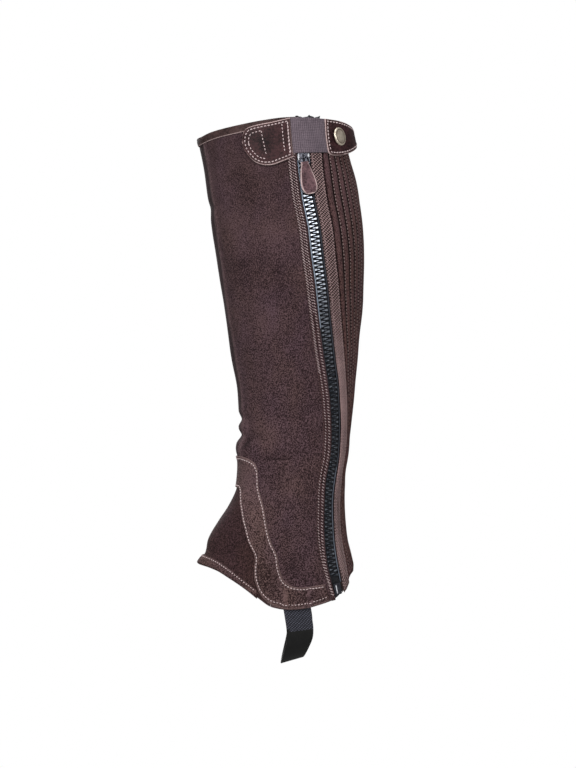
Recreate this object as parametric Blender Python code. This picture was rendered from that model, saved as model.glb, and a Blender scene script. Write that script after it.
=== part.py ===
"""A suede half chap for the left leg, filled out to the form it has when it is worn.

The leg hangs along Z. The toe points to -Y, the outer side of the leg is +X, and
the origin is the middle of the tube at the fullest part of the calf.
Every cloth piece is a wall on one surface, leg_surface(angle, height): the angle
runs round the leg from the shin (0) over the outer side (90) and the back (180)
to the inner side (270). Sizes are in millimetres and degrees until a mesh is made.
"""

import math

import bmesh
import bpy
import numpy as np
from mathutils import Matrix, Vector

MM = 0.001


def table(columns, rows):
    """A short table: rows of numbers under named columns."""
    return dict(zip(columns.split(), np.array(rows, float).T))


# ---------------------------------------------------------------- driving sizes

SEAM_GAP = 0.3                  # between two pieces at a seam
PANEL = (0.0, 2.0)              # inner and outer face of a suede panel, from the leg surface
STRETCH_BASE = 1.7              # outer face of the stretch panel where it has no rib
RIB_HEIGHT = 1.2
RIBS = 11
RIB_PROFILE = (0.0, 1.0)         # share of the rib height in the groove and on the crown
TAPE = (-1.3, -0.3)
CHAIN = (-2.0, 0.9)
TRIM = (2.5, 3.2)               # facings and bindings, outside the panels
TRIM_INSIDE = (-1.2, -0.5)
OVERLAY = (2.4, 3.7)
TAB = (3.5, 5.0)
ELASTIC = (3.5, 4.7)

ZIP_HALF_GAP = 6.2              # zip line to the edge of the panel
CHAIN_HALF_WIDTH = 4.0
TAPE_EDGE = 4.45                # zip line to the near edge of each tape
TAPE_REACH = 14.0               # zip line to the far edge of each tape, under the panel
TAPE_ABOVE_RIM = 3.2
BACK_FACING_REACH = 16.6        # zip line to the rear edge of the tape over the back edge
RIM_BAND = 5.5                  # height of the binding at the rim
HEM_BAND = 5.8                  # height of the band along the hem of the instep
HEM_BAND_END = 79.0             # angle from the shin at which that band meets the overlay
FRONT_SEAM = 22.0               # angle of the seam between the outer and the inner panel
INSTEP_TOP = -194.0             # level of the seam between the panels and the instep

CHAIN_TOP = 71.1
CHAIN_BOTTOM = -289.6
SLIDER_HEIGHT = 75.4            # height of the pull's axis on the zip line

# Cross-sections of the leg, one row for each height.
# front and back are the Y of the two edges as seen from the side, half_width is
# half the size across, taper makes the front narrower than the back, and centre_x
# shifts the section sideways.
SECTIONS = table("height front back half_width taper centre_x", (
    (-330.0, -86.0, 55.5, 39.8, 0.14, 0.0),
    (-300.0, -83.4, 55.2, 39.5, 0.15, 0.0),
    (-284.0, -82.6, 54.6, 39.0, 0.15, 0.0),
    (-276.0, -79.0, 53.0, 38.6, 0.15, 0.0),
    (-268.0, -73.2, 51.2, 38.2, 0.15, 0.0),
    (-255.0, -70.4, 47.6, 37.8, 0.14, 0.0),
    (-240.0, -62.2, 45.4, 37.6, 0.12, 0.0),
    (-225.0, -52.4, 44.6, 37.6, 0.10, 0.0),
    (-211.0, -45.6, 45.0, 37.8, 0.08, 0.0),
    (-195.0, -43.2, 46.6, 38.2, 0.07, 0.0),
    (-175.0, -43.2, 48.4, 39.2, 0.06, -0.5),
    (-150.0, -42.8, 51.4, 41.4, 0.06, -1.0),
    (-125.0, -44.3, 53.9, 44.6, 0.06, -1.5),
    (-100.0, -48.6, 56.3, 48.0, 0.06, -2.0),
    (-70.0, -53.5, 58.7, 51.4, 0.07, -1.8),
    (-35.0, -58.8, 61.3, 54.4, 0.08, -1.0),
    (0.0, -63.8, 62.4, 55.8, 0.08, 0.0),
    (30.0, -68.0, 60.2, 55.5, 0.08, 0.6),
    (60.0, -72.4, 55.0, 53.7, 0.08, 1.0),
    (90.0, -77.5, 46.8, 51.0, 0.08, 1.4),
    (125.0, -83.7, 39.8, 47.6, 0.08, 1.8),
))

# The largest folds, each a soft ridge (depth above zero) or trough across the wall.
# half_angle and half_height are its reach, and rise is how far it climbs per degree.
FOLDS = table("angle height half_angle half_height depth rise", (
    (8.0, 36.0, 62.0, 11.0, -1.0, 0.03),
    (0.0, -149.0, 52.0, 8.0, -2.4, 0.05),
    (4.0, -156.0, 34.0, 7.0, 0.9, 0.04),
    (0.0, -163.0, 50.0, 8.0, -2.5, 0.02),
    (8.0, -174.5, 66.0, 12.0, 2.4, -0.04),
    (38.0, -167.0, 26.0, 8.0, -1.8, 0.10),
    (78.0, -184.0, 46.0, 9.0, -1.5, 0.02),
    (92.0, -146.0, 40.0, 11.0, -1.6, 0.12),
    (180.0, -176.0, 46.0, 13.0, 0.5, 0.0),
    (180.0, -196.0, 52.0, 12.0, -1.8, 0.0),
    (282.0, -150.0, 46.0, 11.0, -2.0, -0.10),
    (288.0, -179.0, 50.0, 11.0, -1.9, -0.04),
    (300.0, -164.0, 40.0, 9.0, 1.6, -0.07),
    (255.0, -128.0, 42.0, 13.0, -1.4, -0.12),
))

RIM = table("angle height", (
    (0.0, 97.0), (20.0, 97.3), (35.0, 99.3), (60.0, 102.4), (85.0, 106.6), (105.0, 109.4),
    (135.0, 109.4), (158.0, 105.6), (180.0, 102.6), (205.0, 102.6), (245.0, 106.0),
    (280.0, 105.2), (325.0, 99.3), (340.0, 97.3), (360.0, 97.0),
))

# The hem is the same on the outer and the inner side: its angle is taken from the shin.
HEM = table("angle height", (
    (0.0, -275.4), (15.0, -275.8), (35.0, -277.8), (45.0, -280.2), (55.0, -284.5),
    (64.0, -290.0), (72.0, -296.4), (80.0, -303.8), (87.0, -309.6), (94.0, -312.0),
    (105.0, -312.8), (116.0, -311.2), (130.0, -305.8), (144.0, -301.4), (153.0, -295.6),
    (162.0, -287.0), (172.0, -284.2), (180.0, -284.0),
))

# The zip line as it is seen from the outer side: how far back it lies at each height.
ZIP_LINE = table("height back", (
    (-316.0, 44.2), (-300.0, 41.4), (-288.0, 39.0), (-275.0, 36.4), (-262.0, 34.5),
    (-240.0, 33.0), (-210.0, 33.4), (-197.0, 34.8), (-183.0, 37.0), (-155.0, 38.6),
    (-127.0, 37.2), (-100.0, 34.0), (-60.0, 29.3), (-29.0, 25.8), (-6.0, 22.8),
    (14.0, 20.4), (42.0, 14.8), (60.0, 12.4), (78.0, 10.9), (95.0, 12.2), (116.0, 16.0),
))

# How far in front of the zip line the folded front facing reaches.
FRONT_FACING = table("height reach", (
    (-316.0, 9.0), (-298.0, 9.4), (-280.0, 11.0), (-255.0, 12.4), (-200.0, 13.2),
    (0.0, 13.8), (120.0, 13.8),
))

# The far seam of the stretch panel, on the inner side of the calf.
FAR_SEAM = table("height angle", (
    (-316.0, 203.0), (-250.0, 201.0), (-180.0, 200.0), (-100.0, 204.0), (0.0, 207.0), (120.0, 207.0),
))

# The side edge of the instep panel, under the overlay.
INSTEP_EDGE = table("height angle", (
    (-316.0, 88.0), (-290.0, 86.5), (-277.0, 84.0), (-262.0, 79.0), (-242.0, 69.0),
    (-225.0, 56.5), (-212.0, 45.5), (-201.0, 33.5), (INSTEP_TOP, FRONT_SEAM),
))

# Bands of rows up the wall: the level at each end of a band and its number of steps.
# Level 100 is stretched to the rim and level -300 to the hem.
BANDS = table("top bottom steps", (
    (100.0, 93.0, 1),
    (93.0, -110.0, 12),
    (-110.0, INSTEP_TOP, 12),
    (INSTEP_TOP, -300.0, 12),
))
RIM_LEVEL = 100.0
HEM_LEVEL = -300.0
HEM_STRETCH_FROM = INSTEP_TOP

# Flat pieces that lie on the panels are ladders: each row gives a rung, from a
# point on the lower or front edge to a point on the upper or rear edge.
RUNG = "low_angle low_height high_angle high_height"
OVERLAY_RUNGS = table(RUNG, (
    (0.0, -209.6, 0.0, -180.2),
    (14.0, -209.6, 15.0, -180.6),
    (27.0, -210.6, 29.0, -181.6),
    (35.0, -216.5, 42.0, -184.0),
    (45.0, -225.8, 52.0, -191.6),
    (53.0, -235.4, 58.0, -206.0),
    (61.5, -246.6, 66.5, -220.6),
    (70.0, -260.4, 77.0, -238.0),
    (75.0, -274.0, 86.0, -258.0),
    (77.6, -287.0, 92.0, -275.0),
    (79.6, -298.6, 95.6, -287.0),
    (85.0, -307.9, 99.6, -292.4),
    (94.0, -311.6, 105.0, -294.2),
    (104.0, -312.4, 111.0, -294.6),
    (118.0, -310.3, 120.0, -294.0),
    (132.0, -304.7, 128.6, -291.6),
    (144.0, -301.0, 141.0, -284.6),
    (154.0, -294.4, 153.0, -276.0),
))
OUTER_RUNGS = 16                # on the outer side the overlay stops at the zip

CLOSURE_TAB_RUNGS = table(RUNG, (
    (67.0, 87.6, 67.2, 90.0),
    (67.7, 82.6, 68.8, 95.8),
    (70.0, 77.2, 72.2, 100.6),
    (74.0, 71.6, 77.6, 102.8),
    (79.4, 68.4, 84.0, 104.0),
    (85.4, 68.2, 90.4, 105.2),
    (92.6, 71.4, 97.4, 107.2),
    (100.6, 75.4, 103.9, 109.2),
))
ELASTIC_RUNGS = table(RUNG, (
    (101.3, 78.9, 104.2, 109.6),
    (115.2, 79.6, 118.8, 110.0),
    (129.1, 80.3, 133.4, 110.0),
))
SNAP_TAB_RUNGS = table(RUNG, (
    (129.6, 80.6, 133.8, 110.0),
    (132.6, 78.4, 139.0, 109.7),
    (142.0, 78.4, 147.0, 108.8),
    (152.0, 79.6, 156.0, 107.2),
    (162.0, 82.0, 165.0, 106.0),
    (172.0, 85.6, 174.0, 104.6),
    (180.0, 89.0, 181.0, 102.6),
    (185.8, 92.4, 186.2, 99.6),
    (187.6, 94.6, 187.8, 97.2),
))

SNAP_CAP_ANGLE = 146.7
SNAP_CAP_HEIGHT = 94.8
SNAP_CAP_PROFILE = table("radius rise", ((7.3, 5.3), (7.3, 6.4), (6.6, 7.1), (4.2, 7.5), (1.4, 7.7)))
SNAP_CAP_SIDES = 24

STRAP_FROM = 97.4               # angles between which the strap is sewn inside the hem
STRAP_TO = 117.0
STRAP_SEWN_TOP = -293.0
STRAP_HEM = -311.0
STRAP_DROP = 49.0
STRAP_TILT = math.radians(16.0)  # the front edge hangs lower at the bottom of the loop
STRAP_FORWARD = 4.5
STRAP = (-1.9, -0.4)

# Slider outline, seen from outside: distance along the zip line and half width.
OUTLINE = "along half_width"
SLIDER_PLATE = table(OUTLINE, ((-3.9, 3.6), (-2.8, 4.4), (3.0, 5.1), (8.0, 5.1), (9.6, 3.4)))
SLIDER_WEB = table(OUTLINE, ((-3.7, 2.6), (-2.8, 3.4), (3.0, 3.4), (8.0, 3.4), (9.0, 2.6)))
SLIDER_LOW_PLATE = (-3.4, -1.9)
SLIDER_TOP_PLATE = (0.3, 2.3)
BAIL_HALF_WIDTH = 1.4
BAIL = table("along out", (
    (-3.3, 2.2), (-3.3, 4.6), (-2.3, 5.5), (2.3, 5.5), (3.3, 4.6), (3.3, 2.2),
    (2.3, 2.2), (2.3, 4.3), (-2.3, 4.3), (-2.3, 2.2),
))

PULL_AXIS_OUT = 3.3
PULL_SWAY = math.radians(11.0)  # the pull hangs a little to the rear of the zip line
RING_HALF_WIDTH = 4.2
RING_DROP = 5.8
RING_RISE = 1.2                 # the ring's lower bar stands further out than its upper bar
RING_CORNER = 1.7
RING_WIRE = 0.62
LEATHER_HALF = 0.5
EYE_RADIUS = 1.45
EYE_HALF_WIDTH = 3.2
PULL_LEATHER = table("along out half_width", (
    (-32.0, 0.8, 1.6), (-31.0, 0.8, 3.6), (-28.6, 0.8, 5.4), (-25.2, 0.8, 6.3),
    (-22.0, 0.8, 6.4), (-17.0, 0.9, 5.6), (-12.0, 1.1, 4.5), (-9.2, 1.5, 3.8),
    (-7.4, 2.1, 3.4),
))
EYE_FROM = math.radians(65.0)
EYE_TO = math.radians(300.0)
EYE_STEPS = 8

BOX_HALF_WIDTH = 4.1
BOX_HALF_HEIGHT = 5.3
BOX_DEPTH = (-2.4, 1.6)
BOX_HEIGHT = -295.9

# name: colour, roughness, metallic
FINISHES = {
    "suede": ((0.050, 0.033, 0.032), 0.95, 0.0),
    "suede_dark": ((0.032, 0.021, 0.021), 0.95, 0.0),
    "stretch_suede": ((0.058, 0.038, 0.036), 0.93, 0.0),
    "binding_leather": ((0.060, 0.038, 0.034), 0.80, 0.0),
    "twill_tape": ((0.170, 0.105, 0.098), 0.90, 0.0),
    "zip_tape": ((0.008, 0.008, 0.009), 0.85, 0.0),
    "zip_metal": ((0.50, 0.53, 0.58), 0.30, 1.0),
    "dark_metal": ((0.13, 0.12, 0.12), 0.40, 1.0),
    "elastic": ((0.150, 0.120, 0.108), 0.90, 0.0),
    "strap_elastic": ((0.014, 0.015, 0.019), 0.85, 0.0),
    "tab_leather": ((0.055, 0.033, 0.029), 0.75, 0.0),
    "brass": ((0.42, 0.30, 0.15), 0.35, 1.0),
}


# ---------------------------------------------------------------- the leg surface

def through(position, knots, values):
    """Read a smooth curve through a table's values, which its knots place."""
    order = np.argsort(knots)
    knots = knots[order]
    values = values[order]
    slopes = np.gradient(values, knots)
    x = np.clip(position, knots[0], knots[-1])
    low = np.clip(np.searchsorted(knots, x, side="right") - 1, 0, len(knots) - 2)
    span = knots[low + 1] - knots[low]
    t = (x - knots[low]) / span
    return (
        (1 + 2 * t) * (1 - t) ** 2 * values[low]
        + t * (1 - t) ** 2 * span * slopes[low]
        + t * t * (3 - 2 * t) * values[low + 1]
        + t * t * (t - 1) * span * slopes[low + 1]
    )


def from_shin(angle):
    """Turn an angle round the leg into its distance from the shin, 0 to 180."""
    return np.abs((np.asarray(angle, float) + 180.0) % 360.0 - 180.0)


def rim_height(angle):
    return through(np.asarray(angle, float) % 360.0, RIM["angle"], RIM["height"])


def hem_height(angle):
    return through(from_shin(angle), HEM["angle"], HEM["height"])


def section(height, column):
    return through(height, SECTIONS["height"], SECTIONS[column])


def fold_depth(angle, height):
    """How far the folds move the wall outwards."""
    push = np.zeros(np.broadcast(angle, height).shape)
    for fold_angle, fold_height, half_angle, half_height, depth, rise in zip(*FOLDS.values()):
        turn = (angle - fold_angle + 180.0) % 360.0 - 180.0
        along = np.clip(1 - (turn / half_angle) ** 2, 0, 1)
        across = np.clip(1 - ((height - fold_height - rise * turn) / half_height) ** 2, 0, 1)
        push += depth * along ** 2 * across ** 2
    return push


def leg_surface(angle, height):
    """Points of the inner face of the panels, for angles and heights of one shape."""
    angle, height = np.broadcast_arrays(np.asarray(angle, float), np.asarray(height, float))
    front = section(height, "front")
    back = section(height, "back")
    half_width = section(height, "half_width")
    turn = np.radians(angle)
    half_depth = (back - front) / 2
    narrowed = 1 - section(height, "taper") * np.cos(turn)
    x = section(height, "centre_x") + half_width * np.sin(turn) * narrowed
    y = (front + back) / 2 - half_depth * np.cos(turn)
    out_x = np.sin(turn) * half_depth
    out_y = -np.cos(turn) * half_width
    push = fold_depth(angle, height) / np.hypot(out_x, out_y)
    return np.stack([x + out_x * push, y + out_y * push, height], axis=-1)


def leg_normal(angle, height):
    step = 0.25
    round_leg = leg_surface(angle + step, height) - leg_surface(angle - step, height)
    up_leg = leg_surface(angle, height + step) - leg_surface(angle, height - step)
    normal = np.cross(round_leg, up_leg)
    return normal / np.linalg.norm(normal, axis=-1, keepdims=True)


def skin(angle, height, out):
    """Points a distance out from the leg surface."""
    out = np.broadcast_to(np.asarray(out, float), np.broadcast(angle, height).shape)
    return leg_surface(angle, height) + leg_normal(angle, height) * out[..., None]


def walk(angle, height, distance):
    """Go a distance round the leg, at one height, and give the new angle."""
    def per_degree(at):
        return np.linalg.norm(leg_surface(at + 0.5, height) - leg_surface(at - 0.5, height), axis=-1)

    halfway = angle + distance / 2 / per_degree(angle)
    return angle + distance / per_degree(halfway)


def zip_angle(height):
    """The angle of the zip line, which its table gives as seen from the side."""
    front = section(height, "front")
    back = section(height, "back")
    line = through(height, ZIP_LINE["height"], ZIP_LINE["back"])
    share = ((front + back) / 2 - line) * 2 / (back - front)
    return np.degrees(np.arccos(share))


def from_zip(height, distance):
    return walk(zip_angle(height), height, distance)


# ---------------------------------------------------------------- grids on the surface

def levels():
    """The levels of the rows of the panels, from the rim down to the hem."""
    rows = [RIM_LEVEL]
    for top, bottom, steps in zip(*BANDS.values()):
        rows.extend(np.linspace(top, bottom, int(steps) + 1)[1:])
    return np.array(rows)


def height_of(level, angle):
    """Stretch a level to the rim above the calf, and to the hem below the ankle."""
    share = (level - HEM_STRETCH_FROM) / (HEM_LEVEL - HEM_STRETCH_FROM)
    low = HEM_STRETCH_FROM + share * (hem_height(angle) - HEM_STRETCH_FROM)
    high = level * rim_height(angle) / RIM_LEVEL
    return np.where(level > 0, high, np.where(level < HEM_STRETCH_FROM, low, level))


def panel_grid(left, right, columns, rows):
    """Angles and heights of a panel between two seams, each a function of height."""
    across = np.linspace(0.0, 1.0, columns + 1)[None, :]
    level = rows[:, None]
    height = np.broadcast_to(level, (len(rows), columns + 1))
    for _ in range(6):
        angle = left(height) * (1 - across) + right(height) * across
        height = height_of(level, angle)
    return angle, height


def ladder_grid(rungs, along, across):
    """Angles and heights between the two edges that a table of rungs gives."""
    order = np.arange(float(len(rungs["low_angle"])))
    place = np.linspace(0.0, order[-1], along + 1)[None, :]
    share = np.linspace(0.0, 1.0, across + 1)[:, None]
    edge = {column: through(place, order, values) for column, values in rungs.items()}
    angle = edge["low_angle"] * (1 - share) + edge["high_angle"] * share
    height = edge["low_height"] * (1 - share) + edge["high_height"] * share
    return angle, height


# ---------------------------------------------------------------- making objects

def finish(name):
    """The material of a finish, made once."""
    if name in bpy.data.materials:
        return bpy.data.materials[name]
    colour, roughness, metallic = FINISHES[name]
    material = bpy.data.materials.new(name)
    material.use_nodes = True
    shader = material.node_tree.nodes["Principled BSDF"]
    shader.inputs["Base Color"].default_value = (*colour, 1.0)
    shader.inputs["Roughness"].default_value = roughness
    shader.inputs["Metallic"].default_value = metallic
    return material


def add_empty(name, parent=None, matrix=None):
    empty = bpy.data.objects.new(name, None)
    bpy.context.scene.collection.objects.link(empty)
    empty.parent = parent
    if matrix is not None:
        empty.matrix_local = matrix
    return empty


def add_object(name, points, faces, finish_name, parent):
    """Make one closed solid from points in millimetres, with its faces turned outwards."""
    form = bmesh.new()
    corners = [form.verts.new(Vector(point) * MM) for point in points]
    for face in faces:
        form.faces.new([corners[index] for index in face])
    bmesh.ops.delete(form, geom=[v for v in form.verts if not v.link_faces], context="VERTS")
    bmesh.ops.recalc_face_normals(form, faces=form.faces)
    mesh = bpy.data.meshes.new(name)
    form.to_mesh(mesh)
    form.free()
    mesh.shade_smooth()
    mesh.set_sharp_from_angle(angle=math.radians(40.0))
    mesh.materials.append(finish(finish_name))
    piece = bpy.data.objects.new(name, mesh)
    bpy.context.scene.collection.objects.link(piece)
    piece.parent = parent
    return piece


def wall(name, outer, inner, finish_name, parent, keep=None):
    """Close two grids of points into a wall. keep marks the cells that the piece has."""
    rows, columns = outer.shape[:2]
    if keep is None:
        keep = np.ones((rows - 1, columns - 1), bool)
    points = np.concatenate([outer.reshape(-1, 3), inner.reshape(-1, 3)])
    back = rows * columns
    faces = []

    def kept(row, column):
        return 0 <= row < rows - 1 and 0 <= column < columns - 1 and keep[row, column]

    for row in range(rows - 1):
        for column in range(columns - 1):
            if not kept(row, column):
                continue
            corner = row * columns + column
            quad = [corner, corner + 1, corner + 1 + columns, corner + columns]
            faces.append(quad)
            faces.append([index + back for index in reversed(quad)])
            beside = ((row - 1, column), (row, column + 1), (row + 1, column), (row, column - 1))
            for side, neighbour in enumerate(beside):
                if not kept(*neighbour):
                    start, end = quad[side], quad[(side + 1) % 4]
                    faces.append([start, start + back, end + back, end])
    return add_object(name, points, faces, finish_name, parent)


def sheet_wall(name, grid, layer, finish_name, parent, keep=None):
    """A wall between two distances from the leg surface."""
    angle, height = grid
    inner, outer = layer
    return wall(name, skin(angle, height, outer), skin(angle, height, inner), finish_name, parent, keep)


def sweep(name, rings, finish_name, parent, closed=False):
    """Join rings of points, each of one count, and close the two ends."""
    count = len(rings)
    sides = len(rings[0])
    faces = []
    for ring in range(count if closed else count - 1):
        following = (ring + 1) % count
        for side in range(sides):
            beyond = (side + 1) % sides
            faces.append([ring * sides + side, ring * sides + beyond,
                          following * sides + beyond, following * sides + side])
    if not closed:
        faces.append(list(range(sides)))
        faces.append([(count - 1) * sides + side for side in range(sides)])
    return add_object(name, np.concatenate(rings), faces, finish_name, parent)


def union(piece, addition):
    """Weld another solid onto a piece; the addition stays behind as a hidden guide."""
    addition.hide_render = True
    addition.display_type = "WIRE"
    weld = piece.modifiers.new("weld_" + addition.name, "BOOLEAN")
    weld.operation = "UNION"
    weld.object = addition


# ---------------------------------------------------------------- the cloth pieces

def instep_angle(height):
    """The side edge of the instep: the front seam down to the ankle, then the curve."""
    return np.where(height > INSTEP_TOP, FRONT_SEAM, through(height, INSTEP_EDGE["height"], INSTEP_EDGE["angle"]))


def seam_edge(edge, side):
    """A panel's edge, half the seam gap to one side of a seam."""
    def moved(height):
        return walk(edge(height), height, side * SEAM_GAP / 2)
    return moved


def far_seam(height):
    return through(height, FAR_SEAM["height"], FAR_SEAM["angle"])


def make_outer_panel(parent):
    grid = panel_grid(seam_edge(instep_angle, 1), lambda height: from_zip(height, -ZIP_HALF_GAP), 12, levels())
    sheet_wall("outer_panel", grid, PANEL, "suede", parent)
    return np.array(grid)[:, :2]


def make_inner_panel(parent):
    """The inner panel runs from the far seam over the shin to the front seam.

    Below the ankle it stops at the instep, so its foremost columns end there.
    """
    rows = levels()
    side_columns = 13
    front_columns = 6
    side = panel_grid(seam_edge(far_seam, 1), lambda height: 360.0 - instep_angle(height), side_columns, rows)
    front = panel_grid(lambda height: 360.0 - instep_angle(height),
                       lambda height: 360.0 + seam_edge(instep_angle, -1)(height), front_columns, rows)
    angle = np.concatenate([side[0], front[0][:, 1:]], axis=1)
    height = np.concatenate([side[1], front[1][:, 1:]], axis=1)
    top_of_instep = np.flatnonzero(np.isclose(rows, INSTEP_TOP))[0]
    height[top_of_instep, side_columns:] += SEAM_GAP / 2
    below = slice(top_of_instep + 1, None)
    angle[below, side_columns] = walk(angle[below, side_columns], height[below, side_columns], -SEAM_GAP / 2)
    keep = np.ones((len(rows) - 1, side_columns + front_columns), bool)
    keep[top_of_instep:, side_columns:] = False
    sheet_wall("inner_panel", (angle, height), PANEL, "suede", parent, keep)
    return np.array([angle, height])[:, :2]


def make_stretch_panel(parent):
    """The ribbed panel: a flat margin under the rear facing, then ribs to the far seam."""
    rows = levels()
    margin = panel_grid(lambda height: from_zip(height, ZIP_HALF_GAP),
                        lambda height: from_zip(height, BACK_FACING_REACH + SEAM_GAP), 2, rows)
    rib_columns = len(RIB_PROFILE)
    ribbed = panel_grid(lambda height: from_zip(height, BACK_FACING_REACH + SEAM_GAP),
                        seam_edge(far_seam, -1), RIBS * rib_columns, rows)
    angle = np.concatenate([margin[0], ribbed[0][:, 1:]], axis=1)
    height = np.concatenate([margin[1], ribbed[1][:, 1:]], axis=1)
    profile = np.zeros(angle.shape[1])
    profile[2:-1] = np.tile(RIB_PROFILE, RIBS)
    fade = np.ones((len(rows), 1))
    fade[:2] = 0.0
    fade[-1] = 0.0
    outer = skin(angle, height, STRETCH_BASE + RIB_HEIGHT * profile[None, :] * fade)
    wall("stretch_panel", outer, skin(angle, height, 0.0), "stretch_suede", parent)
    return np.concatenate([np.array(margin)[:, :2], np.array(ribbed)[:, :2, rib_columns::rib_columns]], axis=2)


def make_instep_panel(parent):
    rows = levels()
    rows = rows[rows < INSTEP_TOP + 0.1]
    angle, height = panel_grid(lambda height: 360.0 - seam_edge(instep_angle, -1)(height),
                               lambda height: 360.0 + seam_edge(instep_angle, -1)(height), 22, rows)
    height[0] -= SEAM_GAP / 2
    sheet_wall("instep_panel", (angle, height), PANEL, "suede_dark", parent)
    return np.array([angle, height])[:, :-3:-1]


def make_overlay(parent):
    """One reinforcement that crosses the instep at the ankle and runs back along both hems."""
    rungs = {}
    for column, values in OVERLAY_RUNGS.items():
        mirrored = -values if column.endswith("angle") else values
        rungs[column] = np.concatenate([mirrored[:0:-1], values[:OUTER_RUNGS]])
    grid = ladder_grid(rungs, 66, 3)
    sheet_wall("ankle_overlay", grid, OVERLAY, "suede", parent)


def make_binding(name, edge, beside, reach, finish_name, parent):
    """A U of thin leather over an edge, made from the panels' points on it and beside it.

    edge and beside are angles and heights of the same columns, on the edge row
    and on the next row of the panels.
    """
    inside, outside = TRIM_INSIDE, TRIM
    profile = (
        (outside[1], -reach), (outside[1], 0.8), (outside[0], 1.3), (inside[1], 1.3), (inside[0], 0.8),
        (inside[0], -reach), (inside[1], -reach), (inside[1], SEAM_GAP), (outside[0], SEAM_GAP),
        (outside[0], -reach),
    )
    outs = np.array([out for out, _ in profile])
    inwards = -np.array([along for _, along in profile])
    rings = []
    for edge_angle, edge_height, beside_angle, beside_height in zip(*edge, *beside):
        share = inwards / abs(beside_height - edge_height)
        angle = edge_angle + share * (beside_angle - edge_angle)
        height = edge_height + share * (beside_height - edge_height)
        rings.append(skin(angle, height, outs))
    sweep(name, rings, finish_name, parent)


def make_strap(parent):
    """The elastic under the foot: sewn inside the hem on both sides, with a free loop below."""
    angles = np.linspace(STRAP_FROM, STRAP_TO, 5)
    middle_y = leg_surface((STRAP_FROM + STRAP_TO) / 2, STRAP_HEM)[1]

    def point(turn, angle, out):
        """turn runs from 0 at the outer hem to pi at the inner hem, and past both up the leg."""
        hem = skin(angle, STRAP_HEM, out)
        if turn < 0:
            return skin(angle, STRAP_HEM - turn, out)
        if turn > math.pi:
            return skin(360.0 - angle, STRAP_HEM + (turn - math.pi), out)
        low = math.sin(turn)
        tilt = STRAP_TILT * low
        across = hem[1] - middle_y
        far = skin(360.0 - angle, STRAP_HEM, out)
        side = hem[0] * (1 + math.cos(turn)) / 2 + far[0] * (1 - math.cos(turn)) / 2
        thick = out - (STRAP[0] + STRAP[1]) / 2
        return np.array([
            side,
            middle_y - STRAP_FORWARD * low + across * math.cos(tilt),
            STRAP_HEM - (STRAP_DROP + thick) * low + across * math.sin(tilt),
        ])

    sewn = STRAP_HEM - STRAP_SEWN_TOP
    turns = [sewn, sewn / 2] + list(np.linspace(0.0, math.pi, 21))
    turns += [math.pi - sewn / 2, math.pi - sewn]
    outer = np.array([[point(turn, angle, STRAP[1]) for angle in angles] for turn in turns])
    inner = np.array([[point(turn, angle, STRAP[0]) for angle in angles] for turn in turns])
    wall("foot_strap", outer, inner, "strap_elastic", parent)


# ---------------------------------------------------------------- zip and fasteners

def zip_rows(top, bottom, steps):
    return np.linspace(top, bottom, steps + 1)[:, None]


def make_tape(name, side, parent):
    """A zip tape: a strip beside the teeth, and its margin under the panel, short of the rim."""
    distances = side * np.array([TAPE_EDGE, ZIP_HALF_GAP - 2 * SEAM_GAP, TAPE_REACH])
    rows = levels()[:, None] * np.ones((1, len(distances)))
    height = rows.copy()
    for _ in range(6):
        angle = from_zip(height, distances[None, :])
        height = height_of(rows, angle)
    height[-1] += 1.0
    height = np.concatenate([height[:1] + TAPE_ABOVE_RIM, height])
    angle = np.concatenate([angle[:1], angle])
    keep = np.ones((len(height) - 1, len(distances) - 1), bool)
    keep[:2, 1:] = False
    sheet_wall(name, (angle, height), TAPE, "zip_tape", parent, keep)


def make_zip(parent):
    make_tape("zip_tape_front", -1, parent)
    make_tape("zip_tape_back", 1, parent)
    height = zip_rows(CHAIN_TOP, CHAIN_BOTTOM, 30)
    angle = from_zip(height, CHAIN_HALF_WIDTH * np.array([[-1.0, 0.0, 1.0]]))
    height = height * np.ones((1, 3))
    sheet_wall("zip_chain", (angle, height), CHAIN, "zip_metal", parent)


def front_reach(height):
    return through(height, FRONT_FACING["height"], FRONT_FACING["reach"])


def make_facings(parent):
    """The folded front edge and the tape over the rear edge, from under the rim band to the hem."""
    rows = levels()[1:]
    inner_edge = ZIP_HALF_GAP - SEAM_GAP
    front = panel_grid(lambda height: from_zip(height, -front_reach(height)),
                       lambda height: from_zip(height, -inner_edge), 2, rows)
    front[1][-1] += 0.4
    sheet_wall("zip_facing_front", front, TRIM, "suede", parent)
    back = panel_grid(lambda height: from_zip(height, inner_edge),
                      lambda height: from_zip(height, BACK_FACING_REACH), 2, rows)
    back[1][-1] += 0.4
    sheet_wall("zip_facing_back", back, TRIM, "twill_tape", parent)


def zip_frame(height):
    """A frame on the zip line: X across to the rear, Y up the zip, Z out of the leg."""
    at = leg_surface(zip_angle(height), height)
    above = leg_surface(zip_angle(height + 1.0), height + 1.0)
    below = leg_surface(zip_angle(height - 1.0), height - 1.0)
    out = leg_normal(zip_angle(height), height)
    up = (above - below) / np.linalg.norm(above - below)
    across = np.cross(up, out)
    frame = Matrix.Identity(4)
    for column, axis in enumerate((across, up, out, at * MM)):
        for row in range(3):
            frame[row][column] = axis[row]
    return frame


def mirrored_outline(half, out):
    """A closed ring at one distance out, from its half widths along the zip."""
    right = [(width, along, out) for along, width in zip(half["along"], half["half_width"])]
    left = [(-width, along, out) for width, along, out in reversed(right)]
    return np.array(right + left)


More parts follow.
